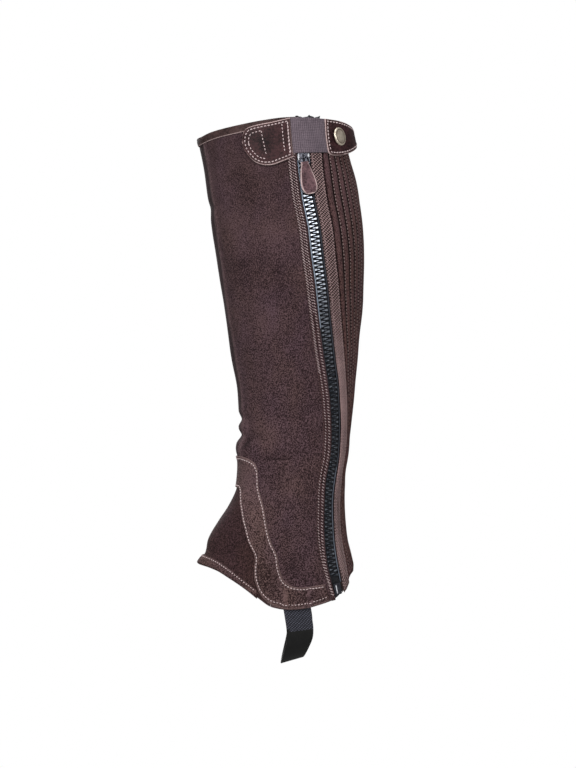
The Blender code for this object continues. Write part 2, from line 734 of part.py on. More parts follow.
def make_slider(parent):
    low, high = SLIDER_LOW_PLATE, SLIDER_TOP_PLATE
    rings = [
        mirrored_outline(SLIDER_PLATE, low[0]), mirrored_outline(SLIDER_PLATE, low[1]),
        mirrored_outline(SLIDER_WEB, low[1]), mirrored_outline(SLIDER_WEB, high[0]),
        mirrored_outline(SLIDER_PLATE, high[0]), mirrored_outline(SLIDER_PLATE, high[1]),
    ]
    slider = sweep("zip_slider", rings, "dark_metal", parent)
    profile = list(zip(*BAIL.values()))
    sides = [np.array([(x, along, out) for along, out in profile]) for x in (-BAIL_HALF_WIDTH, BAIL_HALF_WIDTH)]
    union(slider, sweep("bail_guide", sides, "dark_metal", parent))


def make_pull_ring(parent):
    """A wire loop in the bail: its upper bar lies on the pull's axis."""
    centres = []
    inward = RING_CORNER
    half_drop = RING_DROP / 2
    corners = ((1, 1, 0.0), (-1, 1, 90.0), (-1, -1, 180.0), (1, -1, 270.0))
    for side, end, start in corners:
        for step in range(4):
            turn = math.radians(start + 30.0 * step)
            x = side * (RING_HALF_WIDTH - inward) + inward * math.cos(turn)
            y = -half_drop + end * (half_drop - inward) + inward * math.sin(turn)
            centres.append(np.array([x, y, -RING_RISE * y / RING_DROP]))
    plane = np.array([0.0, RING_RISE / RING_DROP, 1.0])
    plane /= np.linalg.norm(plane)
    rings = []
    for index, centre in enumerate(centres):
        onward = centres[(index + 1) % len(centres)] - centres[index - 1]
        side = np.cross(onward / np.linalg.norm(onward), plane)
        ring = []
        for step in range(6):
            turn = math.radians(60.0 * step)
            ring.append(centre + RING_WIRE * (math.cos(turn) * side + math.sin(turn) * plane))
        rings.append(np.array(ring))
    return sweep("pull_ring", rings, "dark_metal", parent, closed=True)


def make_pull_leather(parent):
    """A drop of leather whose top is turned over the ring's lower bar."""
    path = list(zip(*PULL_LEATHER.values()))
    for turn in np.linspace(EYE_FROM, EYE_TO, EYE_STEPS + 1):
        along = -RING_DROP - EYE_RADIUS * math.cos(turn)
        out = RING_RISE + EYE_RADIUS * math.sin(turn)
        path.append((along, out, EYE_HALF_WIDTH))
    rings = []
    for index, (along, out, width) in enumerate(path):
        before = path[max(index - 1, 0)]
        after = path[min(index + 1, len(path) - 1)]
        length = math.hypot(after[0] - before[0], after[1] - before[1])
        tilt_along = -(after[1] - before[1]) / length * LEATHER_HALF
        tilt_out = (after[0] - before[0]) / length * LEATHER_HALF
        rings.append(np.array([
            (-width, along - tilt_along, out - tilt_out), (width, along - tilt_along, out - tilt_out),
            (width, along + tilt_along, out + tilt_out), (-width, along + tilt_along, out + tilt_out),
        ]))
    return sweep("pull_tab", rings, "tab_leather", parent)


def make_snap_cap(parent):
    """A plain domed cap that stands on the snap tab."""
    at = leg_surface(SNAP_CAP_ANGLE, SNAP_CAP_HEIGHT)
    out = Vector(leg_normal(SNAP_CAP_ANGLE, SNAP_CAP_HEIGHT))
    turned = out.to_track_quat("Z", "Y").to_matrix().to_4x4()
    base = add_empty("snap_frame", parent, Matrix.Translation(Vector(at) * MM) @ turned)
    turns = np.linspace(0.0, 2 * math.pi, SNAP_CAP_SIDES, endpoint=False)
    rings = []
    for radius, rise in zip(*SNAP_CAP_PROFILE.values()):
        rings.append(np.stack([radius * np.cos(turns), radius * np.sin(turns), 0 * turns + rise], axis=1))
    sweep("snap_cap", rings, "brass", base)


def make_retainer(parent):
    """The box at the foot of the zip, between the two tapes."""
    low, high = BOX_DEPTH
    outline = [(BOX_HALF_WIDTH, -BOX_HALF_HEIGHT), (BOX_HALF_WIDTH, BOX_HALF_HEIGHT),
               (-BOX_HALF_WIDTH, BOX_HALF_HEIGHT), (-BOX_HALF_WIDTH, -BOX_HALF_HEIGHT)]
    rings = [np.array([(x, y, out) for x, y in outline]) for out in (low, high)]
    sweep("zip_box", rings, "dark_metal", add_empty("box_frame", parent, zip_frame(BOX_HEIGHT)))


# ---------------------------------------------------------------- the half chap

def main():
    for old in list(bpy.data.objects):
        bpy.data.objects.remove(old, do_unlink=True)
    chap = add_empty("chap")

    outer_top = make_outer_panel(chap)
    inner_top = make_inner_panel(chap)
    stretch_top = make_stretch_panel(chap)
    instep_hem = make_instep_panel(chap)
    make_overlay(chap)

    # Above: [angle or height, edge row or the row beside it, column].
    outer_top[0] += 360.0
    rim = np.concatenate([stretch_top[..., :-1], inner_top[..., :-1], outer_top], axis=2)
    make_binding("rim_binding", rim[:, 0], rim[:, 1], RIM_BAND, "binding_leather", chap)
    hem = instep_hem[..., from_shin(instep_hem[0, 0]) < HEM_BAND_END]
    make_binding("hem_binding", hem[:, 0], hem[:, 1], HEM_BAND, "suede_dark", chap)

    make_zip(chap)
    make_facings(chap)
    sheet_wall("closure_tab", ladder_grid(CLOSURE_TAB_RUNGS, 12, 4), TAB, "tab_leather", chap)
    sheet_wall("closure_elastic", ladder_grid(ELASTIC_RUNGS, 6, 3), ELASTIC, "elastic", chap)
    sheet_wall("snap_tab", ladder_grid(SNAP_TAB_RUNGS, 14, 4), TAB, "tab_leather", chap)
    make_snap_cap(chap)
    make_strap(chap)
    make_retainer(chap)

    slider_frame = add_empty("slider_frame", chap, zip_frame(SLIDER_HEIGHT))
    make_slider(slider_frame)
    hang = Matrix.Translation((0.0, 0.0, PULL_AXIS_OUT * MM)) @ Matrix.Rotation(PULL_SWAY, 4, "Z")
    pull_axis = add_empty("pull_axis", slider_frame, hang)
    make_pull_ring(pull_axis)
    make_pull_leather(pull_axis)


main()
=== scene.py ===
"""The looks of the suede half chap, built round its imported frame.

Sizes are in millimetres and degrees until a mesh is made. The surface of the leg and
the tables of the pieces are those of the part's source, read here at a finer step.
This script adds the smaller creases, the rolled edges, the sewing and the weaves.
"""

import functools
import math

import bmesh
import bpy
import numpy as np
from mathutils import Matrix, Vector


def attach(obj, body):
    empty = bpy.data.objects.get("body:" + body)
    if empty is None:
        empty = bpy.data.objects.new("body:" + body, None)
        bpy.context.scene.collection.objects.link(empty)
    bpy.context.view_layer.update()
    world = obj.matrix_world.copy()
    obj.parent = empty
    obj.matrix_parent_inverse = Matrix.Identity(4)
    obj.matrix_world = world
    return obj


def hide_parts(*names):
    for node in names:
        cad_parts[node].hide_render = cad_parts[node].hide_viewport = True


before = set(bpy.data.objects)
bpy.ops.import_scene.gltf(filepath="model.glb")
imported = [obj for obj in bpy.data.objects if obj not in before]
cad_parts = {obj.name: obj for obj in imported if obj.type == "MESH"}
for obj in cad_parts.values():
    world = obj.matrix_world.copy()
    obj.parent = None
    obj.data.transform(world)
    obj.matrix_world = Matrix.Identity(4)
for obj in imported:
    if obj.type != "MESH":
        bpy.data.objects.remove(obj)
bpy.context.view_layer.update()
MM = 0.001


def table(columns, rows):
    """A short table: rows of numbers under named columns."""
    return dict(zip(columns.split(), np.array(rows, float).T))


# ---------------------------------------------------------------- sizes shared with the part

SEAM_GAP = 0.3
PANEL = (0.0, 2.0)
STRETCH_BASE = 1.3
RIB_HEIGHT = 1.9
RIBS = 11
GROOVE = 0.13                   # share of a rib's width that its groove takes up
TAPE = (-1.3, -0.3)
TRIM = (2.2, 3.2)
TRIM_INSIDE = (-1.2, -0.5)
OVERLAY = (2.1, 3.6)
TAB = (3.4, 5.0)
ELASTIC = (3.4, 4.6)

ZIP_HALF_GAP = 6.2
TAPE_EDGE = 4.45
TAPE_REACH = 14.0
TAPE_ABOVE_RIM = 1.6
RIM_BAND = 5.5
RIM_LEVEL = 104.0               # level of the rim by the zip
BAND_OVER = 1.2                 # how far a folded band stands past the edge it covers
HEM_BAND = 5.8
HEM_BAND_END = 79.0
FRONT_SEAM = 22.0
INSTEP_TOP = -194.0
CHAIN_TOP = 71.1
CHAIN_BOTTOM = -289.6
SLIDER_HEIGHT = 75.4

SECTIONS = table("height front back half_width taper centre_x", (
    (-330, -86, 55.5, 39.8, 0.14, 0), (-300, -83.4, 55.2, 39.5, 0.15, 0),
    (-284, -82.6, 54.6, 39, 0.15, 0), (-276, -79, 53, 38.6, 0.15, 0),
    (-268, -73.2, 51.2, 38.2, 0.15, 0), (-255, -70.4, 47.6, 37.8, 0.14, 0),
    (-240, -62.2, 45.4, 37.6, 0.12, 0), (-225, -52.4, 44.6, 37.6, 0.1, 0),
    (-211, -45.6, 45, 37.8, 0.08, 0), (-195, -43.2, 46.6, 38.2, 0.07, 0),
    (-175, -43.2, 48.4, 39.2, 0.06, -0.5), (-150, -42.8, 51.4, 41.4, 0.06, -1),
    (-125, -44.3, 53.9, 44.6, 0.06, -1.5), (-100, -48.6, 56.3, 48, 0.06, -2),
    (-70, -53.5, 58.7, 51.4, 0.07, -1.8), (-35, -58.8, 61.3, 54.4, 0.08, -1),
    (0, -63.8, 62.4, 55.8, 0.08, 0), (30, -68, 60.2, 55.5, 0.08, 0.6),
    (60, -72.4, 55, 53.7, 0.08, 1), (90, -77.5, 46.8, 51, 0.08, 1.4),
    (125, -83.7, 39.8, 47.6, 0.08, 1.8),
))

SPOT = "angle height half_angle half_height depth rise"
FOLDS = table(SPOT, (
    (8, 36, 62, 11, -1, 0.03), (0, -149, 52, 8, -2.4, 0.05), (4, -156, 34, 7, 0.9, 0.04),
    (0, -163, 50, 8, -2.5, 0.02), (8, -174.5, 66, 12, 2.4, -0.04), (38, -167, 26, 8, -1.8, 0.1),
    (78, -184, 46, 9, -1.5, 0.02), (92, -146, 40, 11, -1.6, 0.12), (180, -176, 46, 13, 0.5, 0),
    (180, -196, 52, 12, -0.6, 0), (282, -150, 46, 11, -2, -0.1), (288, -179, 50, 11, -1.9, -0.04),
    (300, -164, 40, 9, 1.6, -0.07), (255, -128, 42, 13, -1.4, -0.12),
))

RIM = table("angle height", (
    (0, 97), (20, 97.3), (35, 99.3), (60, 102.4), (85, 106.6), (105, 109.4), (135, 109.4),
    (158, 105.6), (180, 102.6), (205, 102.6), (245, 106), (280, 105.2), (325, 99.3), (340, 97.3),
    (360, 97),
))
HEM = table("angle height", (
    (0, -275.4), (15, -275.8), (35, -277.8), (45, -280.2), (55, -284.5), (64, -290), (72, -296.4),
    (80, -303.8), (87, -309.6), (94, -312), (105, -312.8), (116, -311.2), (130, -307),
    (144, -302.8), (153, -296.6), (162, -287), (172, -284.2), (180, -284),
))
ZIP_LINE = table("height back", (
    (-316, 44.2), (-300, 41.4), (-288, 39), (-275, 36.4), (-262, 34.5), (-240, 33), (-210, 33.4),
    (-197, 34.8), (-183, 37), (-155, 38.6), (-127, 37.2), (-100, 34), (-60, 29.3), (-29, 25.8),
    (-6, 22.8), (14, 20.4), (42, 14.8), (60, 12.4), (78, 10.9), (95, 12.2), (116, 16),
))
FRONT_FACING = table("height reach", (
    (-316, 9), (-298, 9.4), (-280, 11), (-255, 12.4), (-200, 13.2), (0, 13.8), (120, 13.8),
))
BACK_FACING = table("height reach", (
    (-316, 14.4), (-240, 14.2), (-180, 14.4), (-100, 15.4), (0, 16.2), (120, 16.6),
))
FAR_SEAM = table("height angle", (
    (-316, 203), (-250, 201), (-180, 200), (-100, 204), (0, 207), (120, 207),
))
INSTEP_EDGE = table("height angle", (
    (-316, 88), (-290, 86.5), (-277, 84), (-262, 79), (-242, 69), (-225, 56.5), (-212, 45.5),
    (-201, 33.5), (INSTEP_TOP, FRONT_SEAM),
))

RUNG = "low_angle low_height high_angle high_height"
OVERLAY_RUNGS = table(RUNG, (
    (0, -209.6, 0, -180.2), (12, -209.6, 14, -180.4), (22, -210.6, 27, -180.8),
    (30.6, -216.9, 41.1, -184.6), (40.9, -226.5, 50.4, -191.8), (51.1, -235.8, 54.6, -206.7),
    (60.7, -246.9, 65.4, -221), (69.2, -260.6, 77.3, -238), (74.3, -274.2, 87.1, -257.6),
    (76.7, -287.1, 92.8, -274.7), (80, -298.2, 96.9, -286.3), (85.8, -306.4, 100.7, -290.9),
    (94.1, -311.1, 105.2, -292.9), (104, -312.4, 110.9, -293.5), (117.9, -310.3, 119.9, -292.4),
    (132.4, -306.1, 128.5, -291.3), (144, -301, 141, -284.6), (154, -294.4, 153, -276),
))
OUTER_RUNGS = 16
CLOSURE_TAB_RUNGS = table(RUNG, (
    (67, 87.6, 67.2, 90), (67.7, 82.6, 68.8, 95.8), (70, 77.2, 72.2, 100.6),
    (74, 71.8, 77.6, 102.8), (79.4, 69, 84, 104.2), (86.4, 68.8, 91.4, 105.6),
    (94.6, 71.8, 99.4, 107.6), (103.6, 75.6, 107, 109.6),
))
ELASTIC_RUNGS = table(RUNG, (
    (104.2, 78.9, 107.4, 109.8), (119, 79.6, 122.6, 110.2), (133.6, 80.3, 138.2, 110.2),
))
SNAP_TAB_RUNGS = table(RUNG, (
    (134, 80.6, 138.4, 110.4), (137, 78.4, 143, 110), (145.5, 78.4, 150, 109),
    (154, 79.6, 158, 107.4), (162, 82, 165, 106), (172, 85.6, 174, 104.6), (180, 89, 181, 102.6),
    (185.8, 92.4, 186.2, 99.6), (187.6, 94.6, 187.8, 97.2),
))
SNAP_CAP_ANGLE = 149.0
SNAP_CAP_HEIGHT = 95.0

STRAP_FROM = 97.4
STRAP_TO = 117.8
STRAP_SEWN_TOP = -293.0
STRAP_HEM = -311.0
STRAP_DROP = 49.0
STRAP_TILT = math.radians(16.0)
STRAP_LINE = table("share forward", (
    (0, 0.6), (0.17, -0.8), (0.37, -2.2), (0.57, -2.2), (0.8, 0.6), (1, 3.4),
))
STRAP = (-1.9, -0.4)

OUTLINE = "along half_width"
SLIDER_PLATE = table(OUTLINE, ((-3.9, 3.6), (-2.8, 4.4), (3.0, 5.1), (8.0, 5.1), (9.6, 3.4)))
SLIDER_WEB = table(OUTLINE, ((-3.7, 2.6), (-2.8, 3.4), (3.0, 3.4), (8.0, 3.4), (9.0, 2.6)))
PULL_AXIS_OUT = 3.3
PULL_SWAY = math.radians(11.0)
RING_HALF_WIDTH = 4.2
RING_DROP = 5.8
RING_RISE = 1.2
RING_CORNER = 1.7
RING_WIRE = 0.62
LEATHER_HALF = 0.55
EYE_RADIUS = 1.45
EYE_HALF_WIDTH = 3.2
PULL_LEATHER = table("along out half_width", (
    (-32.4, 0.8, 1.8), (-31.4, 0.8, 4), (-28.8, 0.8, 6.1), (-25.2, 0.8, 7), (-22, 0.8, 7),
    (-17, 0.9, 6.2), (-12, 1.1, 5), (-9.2, 1.5, 4.3), (-7.4, 2.1, 3.6),
))
PULL_SHIFT = -1.1
EYE_FROM = math.radians(65.0)
EYE_TO = math.radians(300.0)
BOX_HALF_WIDTH = 4.1
BOX_HALF_HEIGHT = 5.3
BOX_DEPTH = (-2.4, 1.6)
BOX_HEIGHT = -295.9

# ---------------------------------------------------------------- sizes of the finer form

# Smaller creases, in the same columns as the folds.
CREASES = table(SPOT, (
    (14, 38, 30, 3.5, -0.5, 0.05), (29, -168.5, 11, 5, -1.6, -0.1), (70, -183, 30, 2.6, -0.9, 0.01),
    (72, -188.5, 32, 5, 0.7, 0.02), (36, -186, 12, 6, 0.6, -0.3), (44, -120, 3.5, 26, -0.5, 0),
    (37, -128, 4, 24, 0.5, 0), (55, -139, 4, 18, -0.4, 0), (98.6, -302.5, 1.7, 9.5, 1.3, 0),
    (115.8, -302.5, 1.7, 9.5, 1.3, 0), (107, -250, 5, 30, 0.5, 0), (60, -212, 14, 10, 0.6, -0.4),
    (325, -166, 22, 5, -1.1, 0.1), (296, -191, 34, 3, -0.9, 0.03), (268, -184, 26, 5, 0.8, 0.02),
    (246, -160, 24, 3.6, -0.8, -0.08), (318, -122, 4, 28, -0.5, 0), (306, -118, 5, 20, 0.4, 0),
    (262, 62, 8, 30, -0.5, 0), (288, 30, 7, 42, 0.5, 0),
))
# Slow waves all over the cloth, too shallow to show in the outline.
WAVES = table("turns climb phase depth", (
    (3, 170, 0.4, 0.3), (5, -96, 1.9, 0.2), (7, 61, 4, 0.13), (12, -47, 2.2, 0.09),
    (4, 38, 5.1, 0.08),
))

EDGE_STEPS = (0.3, 0.8, 1.5, 2.3)
STRIP_STEPS = (0.3, 0.8, 1.4)
SETTLING = 6                    # passes in which angles and heights of a grid settle
EDGE_ROLL = 0.9
RAW_EDGE = 0.6
PANEL_STEP = 2.6
PANEL_WEAR = 1.6
# Rows of the panels from the rim down: the level at each end of a band, and its step.
ROW_BANDS = ((100.0, 94.0, 1.5), (94.0, -136.0, 3.0), (-136.0, INSTEP_TOP, 1.5),
             (INSTEP_TOP, -288.0, 2.4), (-288.0, -300.0, 1.5))

# name: length, radius and spacing of a stitch
STITCHES = {
    "overlay": (2.1, 0.42, 2.8),
    "tab": (2.3, 0.50, 3.1),
    "facing": (1.8, 0.30, 2.5),
    "comb": (4.0, 0.36, 2.6),
    "rib": (2.1, 0.44, 3.0),
    "hem": (1.7, 0.42, 2.6),
}
# Rows of sewing in front of the zip: distance, and the level they end at.
FACING_ROWS = ((7.9, -300.0), (9.9, -60.0), (11.6, -300.0), (13.2, -110.0))
PAST_FACING = 99.0              # a distance past the facing, for a row by its edge
RIB_SEWING = 2.25               # how far out of the leg the stitches of the ribs lie
RIB_SEWN = (-296.0, 96.0)       # levels between which the ribs are sewn
FACING_SEWN = (-299.0, 92.0)
OVERLAY_INSET = 2.0             # how far the rows lie from the edges of the overlay
TAB_INSET = 2.6
TAB_INNER_INSET = 5.8
TAB_INNER_END = 83.8            # angle at which the inner row of the crescent ends
SNAP_TAB_INSET = 2.3
FACING_SLANT = math.radians(42.0)
COMB_SLANT = math.radians(60.0)
COMB_LEVEL = -110.0             # level at which the stitches have turned fully
TOOTH_PITCH = 3.7
ZIP_TOP_ANGLE = 108.0
# Loose ends of the tape above the rim: name, both edges across the zip, and height.
TAPE_ENDS = (("front", -11.0, 1.5, 3.0), ("back", 1.0, 12.0, 3.9))

# Clouds in the nap, and painted light, in the same columns as the folds: lighter above zero, darker
# below.
# The painted light: shade along the front edge and in two creases by the ankle, and a highlight on
# a fold there.
NAP_CLOUDS_AND_PAINTED_LIGHT = table(SPOT, (
    (11, 30, 16, 120, -0.5, 0), (11, -100, 16, 80, -0.35, 0), (36, 60, 20, 30, 0.12, 0),
    (45, 20, 22, 34, 0.12, 0), (62, 44, 20, 26, -0.16, 0), (78, 10, 14, 30, 0.1, 0),
    (80, -22, 18, 20, -0.14, 0), (52, -20, 22, 20, -0.1, 0), (68, -62, 18, 26, 0.25, 0),
    (40, -66, 16, 26, 0.15, 0), (75, -120, 30, 30, 0.1, 0), (62, -158, 30, 24, 0.26, 0),
    (31, -170, 10, 8, -0.8, 0), (31, -156, 2.4, 11, 1.5, 0), (70, -183.2, 26, 2, -0.45, 0.01),
    (92, -206, 18, 18, 0.25, 0), (84, -244, 14, 22, 0.12, 0), (104, -276, 12, 16, -0.3, 0),
    (300, 40, 30, 40, 0.22, 0), (262, -20, 26, 40, -0.2, 0), (290, -90, 28, 44, 0.2, 0),
    (240, 60, 20, 40, 0.15, 0), (270, -240, 30, 40, 0.18, 0),
))

OVERLAY_TONES = table(SPOT, (
    (38, -200, 26, 34, 0.5, -0.5), (64, -236, 14, 30, 0.2, -1), (84, -284, 16, 20, -0.35, -0.6),
    (118, -303, 24, 12, -0.15, 0), (98.6, -302.5, 1.2, 9.5, 1.8, 0),
    (115.8, -302.5, 1.2, 9.5, 1.8, 0), (322, -200, 26, 34, 0.35, 0.5),
    (276, -284, 16, 20, -0.3, 0.6),
))
FACING_TONES = table(SPOT, (
    (112, -160, 60, 130, 0.3, 0), (115, -270, 60, 60, 0.15, 0),
))
TAPE_TONES = table(SPOT, (
    (120, 100, 60, 90, -0.05, 0), (125, -150, 60, 100, 0.52, 0), (130, -270, 60, 80, 0.12, 0),
))


# ---------------------------------------------------------------- the leg surface

def through(position, knots, values):
    """Read a smooth curve through a table's values, which its knots place."""
    order = np.argsort(knots)
    knots = knots[order]
    values = values[order]
    slopes = np.gradient(values, knots)
    x = np.clip(position, knots[0], knots[-1])
    low = np.clip(np.searchsorted(knots, x, side="right") - 1, 0, len(knots) - 2)
    span = knots[low + 1] - knots[low]
    t = (x - knots[low]) / span
    return (
        (1 + 2 * t) * (1 - t) ** 2 * values[low]
        + t * (1 - t) ** 2 * span * slopes[low]
        + t * t * (3 - 2 * t) * values[low + 1]
        + t * t * (t - 1) * span * slopes[low + 1]
    )


def unit(vectors):
    return vectors / np.linalg.norm(vectors, axis=-1, keepdims=True)


def travelled(points):
    """How far each point of a line is from its first."""
    return np.pad(np.cumsum(np.linalg.norm(np.diff(points, axis=0), axis=1)), (1, 0))


def from_shin(angle):
    return np.abs((np.asarray(angle, float) + 180.0) % 360.0 - 180.0)


def rim_height(angle):
    return through(np.asarray(angle, float) % 360.0, RIM["angle"], RIM["height"])


def hem_height(angle):
    return through(from_shin(angle), HEM["angle"], HEM["height"])


def section(height, column):
    return through(height, SECTIONS["height"], SECTIONS[column])


def spots(spot_table, angle, height):
    """The sum of a table's soft spots, each of which fades to nothing at its reach."""
    total = np.zeros(np.broadcast(angle, height).shape)
    for spot_angle, spot_height, half_angle, half_height, depth, rise in zip(*spot_table.values()):
        turn = (angle - spot_angle + 180.0) % 360.0 - 180.0
        along = np.clip(1 - (turn / half_angle) ** 2, 0, 1)
        across = np.clip(1 - ((height - spot_height - rise * turn) / half_height) ** 2, 0, 1)
        total += depth * along ** 2 * across ** 2
    return total


def waves(angle, height):
    total = 0.0
    for turns, climb, phase, depth in zip(*WAVES.values()):
        along = np.radians(turns * angle) + 2 * math.pi * height / climb
        total = total + depth * np.sin(along + phase)
    return total


def leg_surface(angle, height):
    """Points of the inner face of the panels, for angles and heights of one shape."""
    angle, height = np.broadcast_arrays(np.asarray(angle, float), np.asarray(height, float))
    front = section(height, "front")
    back = section(height, "back")
    half_width = section(height, "half_width")
    turn = np.radians(angle)
    half_depth = (back - front) / 2
    narrowed = 1 - section(height, "taper") * np.cos(turn)
    x = section(height, "centre_x") + half_width * np.sin(turn) * narrowed
    y = (front + back) / 2 - half_depth * np.cos(turn)
    out_x = np.sin(turn) * half_depth
    out_y = -np.cos(turn) * half_width
    push = spots(FOLDS, angle, height) + spots(CREASES, angle, height) + waves(angle, height)
    push = push / np.hypot(out_x, out_y)
    return np.stack([x + out_x * push, y + out_y * push, height], axis=-1)


def leg_normal(angle, height):
    step = 0.25
    round_leg = leg_surface(angle + step, height) - leg_surface(angle - step, height)
    up_leg = leg_surface(angle, height + step) - leg_surface(angle, height - step)
    return unit(np.cross(round_leg, up_leg))


def skin(angle, height, out):
    """Points a distance out from the leg surface."""
    out = np.broadcast_to(np.asarray(out, float), np.broadcast(angle, height).shape)
    return leg_surface(angle, height) + leg_normal(angle, height) * out[..., None]


def per_degree(angle, height):
    degree = leg_surface(angle + 0.5, height) - leg_surface(angle - 0.5, height)
    return np.linalg.norm(degree, axis=-1)


def walk(angle, height, distance):
    """Go a distance round the leg, at one height, and give the new angle."""
    halfway = angle + distance / 2 / per_degree(angle, height)
    return angle + distance / per_degree(halfway, height)


def zip_angle(height):
    front = section(height, "front")
    back = section(height, "back")
    line = through(height, ZIP_LINE["height"], ZIP_LINE["back"])
    share = ((front + back) / 2 - line) * 2 / (back - front)
    return np.degrees(np.arccos(share))


def from_zip(height, distance):
    return walk(zip_angle(height), height, distance)


def instep_angle(height):
    edge = through(height, INSTEP_EDGE["height"], INSTEP_EDGE["angle"])
    return np.where(height > INSTEP_TOP, FRONT_SEAM, edge)


def seam_edge(edge, side):
    """A panel's edge, half the seam gap to one side of a seam."""
    return lambda height: walk(edge(height), height, side * SEAM_GAP / 2)


def beside_zip(distance):
    """The line a distance behind the zip, or in front of it where the distance is negative."""
    return lambda height: from_zip(height, distance)


def across_shin(edge):
    """An edge's mirror image on the inner side of the leg."""
    return lambda height: 360.0 - edge(height)


def reader(rows, column):
    """A function that reads a table's column at a height."""
    return lambda height: through(height, rows["height"], rows[column])


far_seam = reader(FAR_SEAM, "angle")
front_reach = reader(FRONT_FACING, "reach")
back_reach = reader(BACK_FACING, "reach")


def rib_edge(height):
    return from_zip(height, back_reach(height) + SEAM_GAP)


# ---------------------------------------------------------------- grids on the surface

def spaced(length, step, fine=EDGE_STEPS):
    """Shares of a length a step apart, with closer ones by both ends."""
    begin = fine[-1] + step / 2
    count = max(2, round((length - 2 * begin) / step))
    near = [0.0, *fine]
    far = [length - place for place in reversed(near)]
    return np.array([*near, *np.linspace(begin, length - begin, count + 1), *far]) / length


def row_levels(bands=ROW_BANDS):
    rows = [bands[0][0]]
    for top, bottom, step in bands:
        rows.extend(np.linspace(top, bottom, max(1, round((top - bottom) / step)) + 1)[1:])
    return np.array(rows)


def between(levels, span):
    return levels[(levels > span[0]) & (levels < span[1])]


def height_of(level, angle):
    """Stretch a level to the rim above the calf, and to the hem below the ankle."""
    share = (level - INSTEP_TOP) / (ROW_BANDS[-1][1] - INSTEP_TOP)
    low = INSTEP_TOP + share * (hem_height(angle) - INSTEP_TOP)
    high = level * rim_height(angle) / ROW_BANDS[0][0]
    return np.where(level > 0, high, np.where(level < INSTEP_TOP, low, level))


def panel_grid(left, right, across, rows):
    """Angles and heights of a panel between two seams, each a function of height."""
    level = rows[:, None]
    height = np.broadcast_to(level, (len(rows), len(across)))
    for _ in range(SETTLING):
        angle = left(height) * (1 - across) + right(height) * across
        height = height_of(level, angle)
    return angle, height


def line_grid(edge, levels):
    """Angles and heights of one line down the leg."""
    return tuple(values[:, 0] for values in panel_grid(edge, edge, np.zeros(1), levels))


def side_by_side(one, other):
    return tuple(np.concatenate([left, right[:, 1:]], axis=1) for left, right in zip(one, other))


def ladder_grid(rungs, along, across):
    """Angles and heights between the two edges that a table of rungs gives."""
    order = np.arange(float(len(rungs["low_angle"])))
    place = along[None, :] * order[-1]
    share = across[:, None]
    edge = {column: through(place, order, values) for column, values in rungs.items()}
    angle = edge["low_angle"] * (1 - share) + edge["high_angle"] * share
    height = edge["low_height"] * (1 - share) + edge["high_height"] * share
    return angle, height


def side_distances(points):
    """How far each point of a grid lies from its four sides, along its rows and columns."""
    across = np.linalg.norm(np.diff(points, axis=1), axis=-1)
    along = np.linalg.norm(np.diff(points, axis=0), axis=-1)
    left = np.pad(np.cumsum(across, axis=1), ((0, 0), (1, 0)))
    first = np.pad(np.cumsum(along, axis=0), ((1, 0), (0, 0)))
    sides = {"left": left, "right": left[:, -1:] - left, "first": first, "last": first[-1:] - first}
    sides["edge"] = np.minimum.reduce(list(sides.values()))
    return sides


def rolled(distance, radius=EDGE_ROLL):
    """How far a face drops where it rolls over its edge."""
    inside = np.clip(1 - distance / radius, 0, 1)
    return radius * (1 - np.sqrt(1 - inside ** 2))


def swell(distance, place, reach):
    return np.exp(-((distance - place) / reach) ** 2)


def seam_bead(distance):
    """The raised edge of a sewn seam, and the dip beside it."""
    return 0.5 * swell(distance, 1.3, 0.9) - 0.4 * swell(distance, 3.6, 1.1)


# ---------------------------------------------------------------- materials

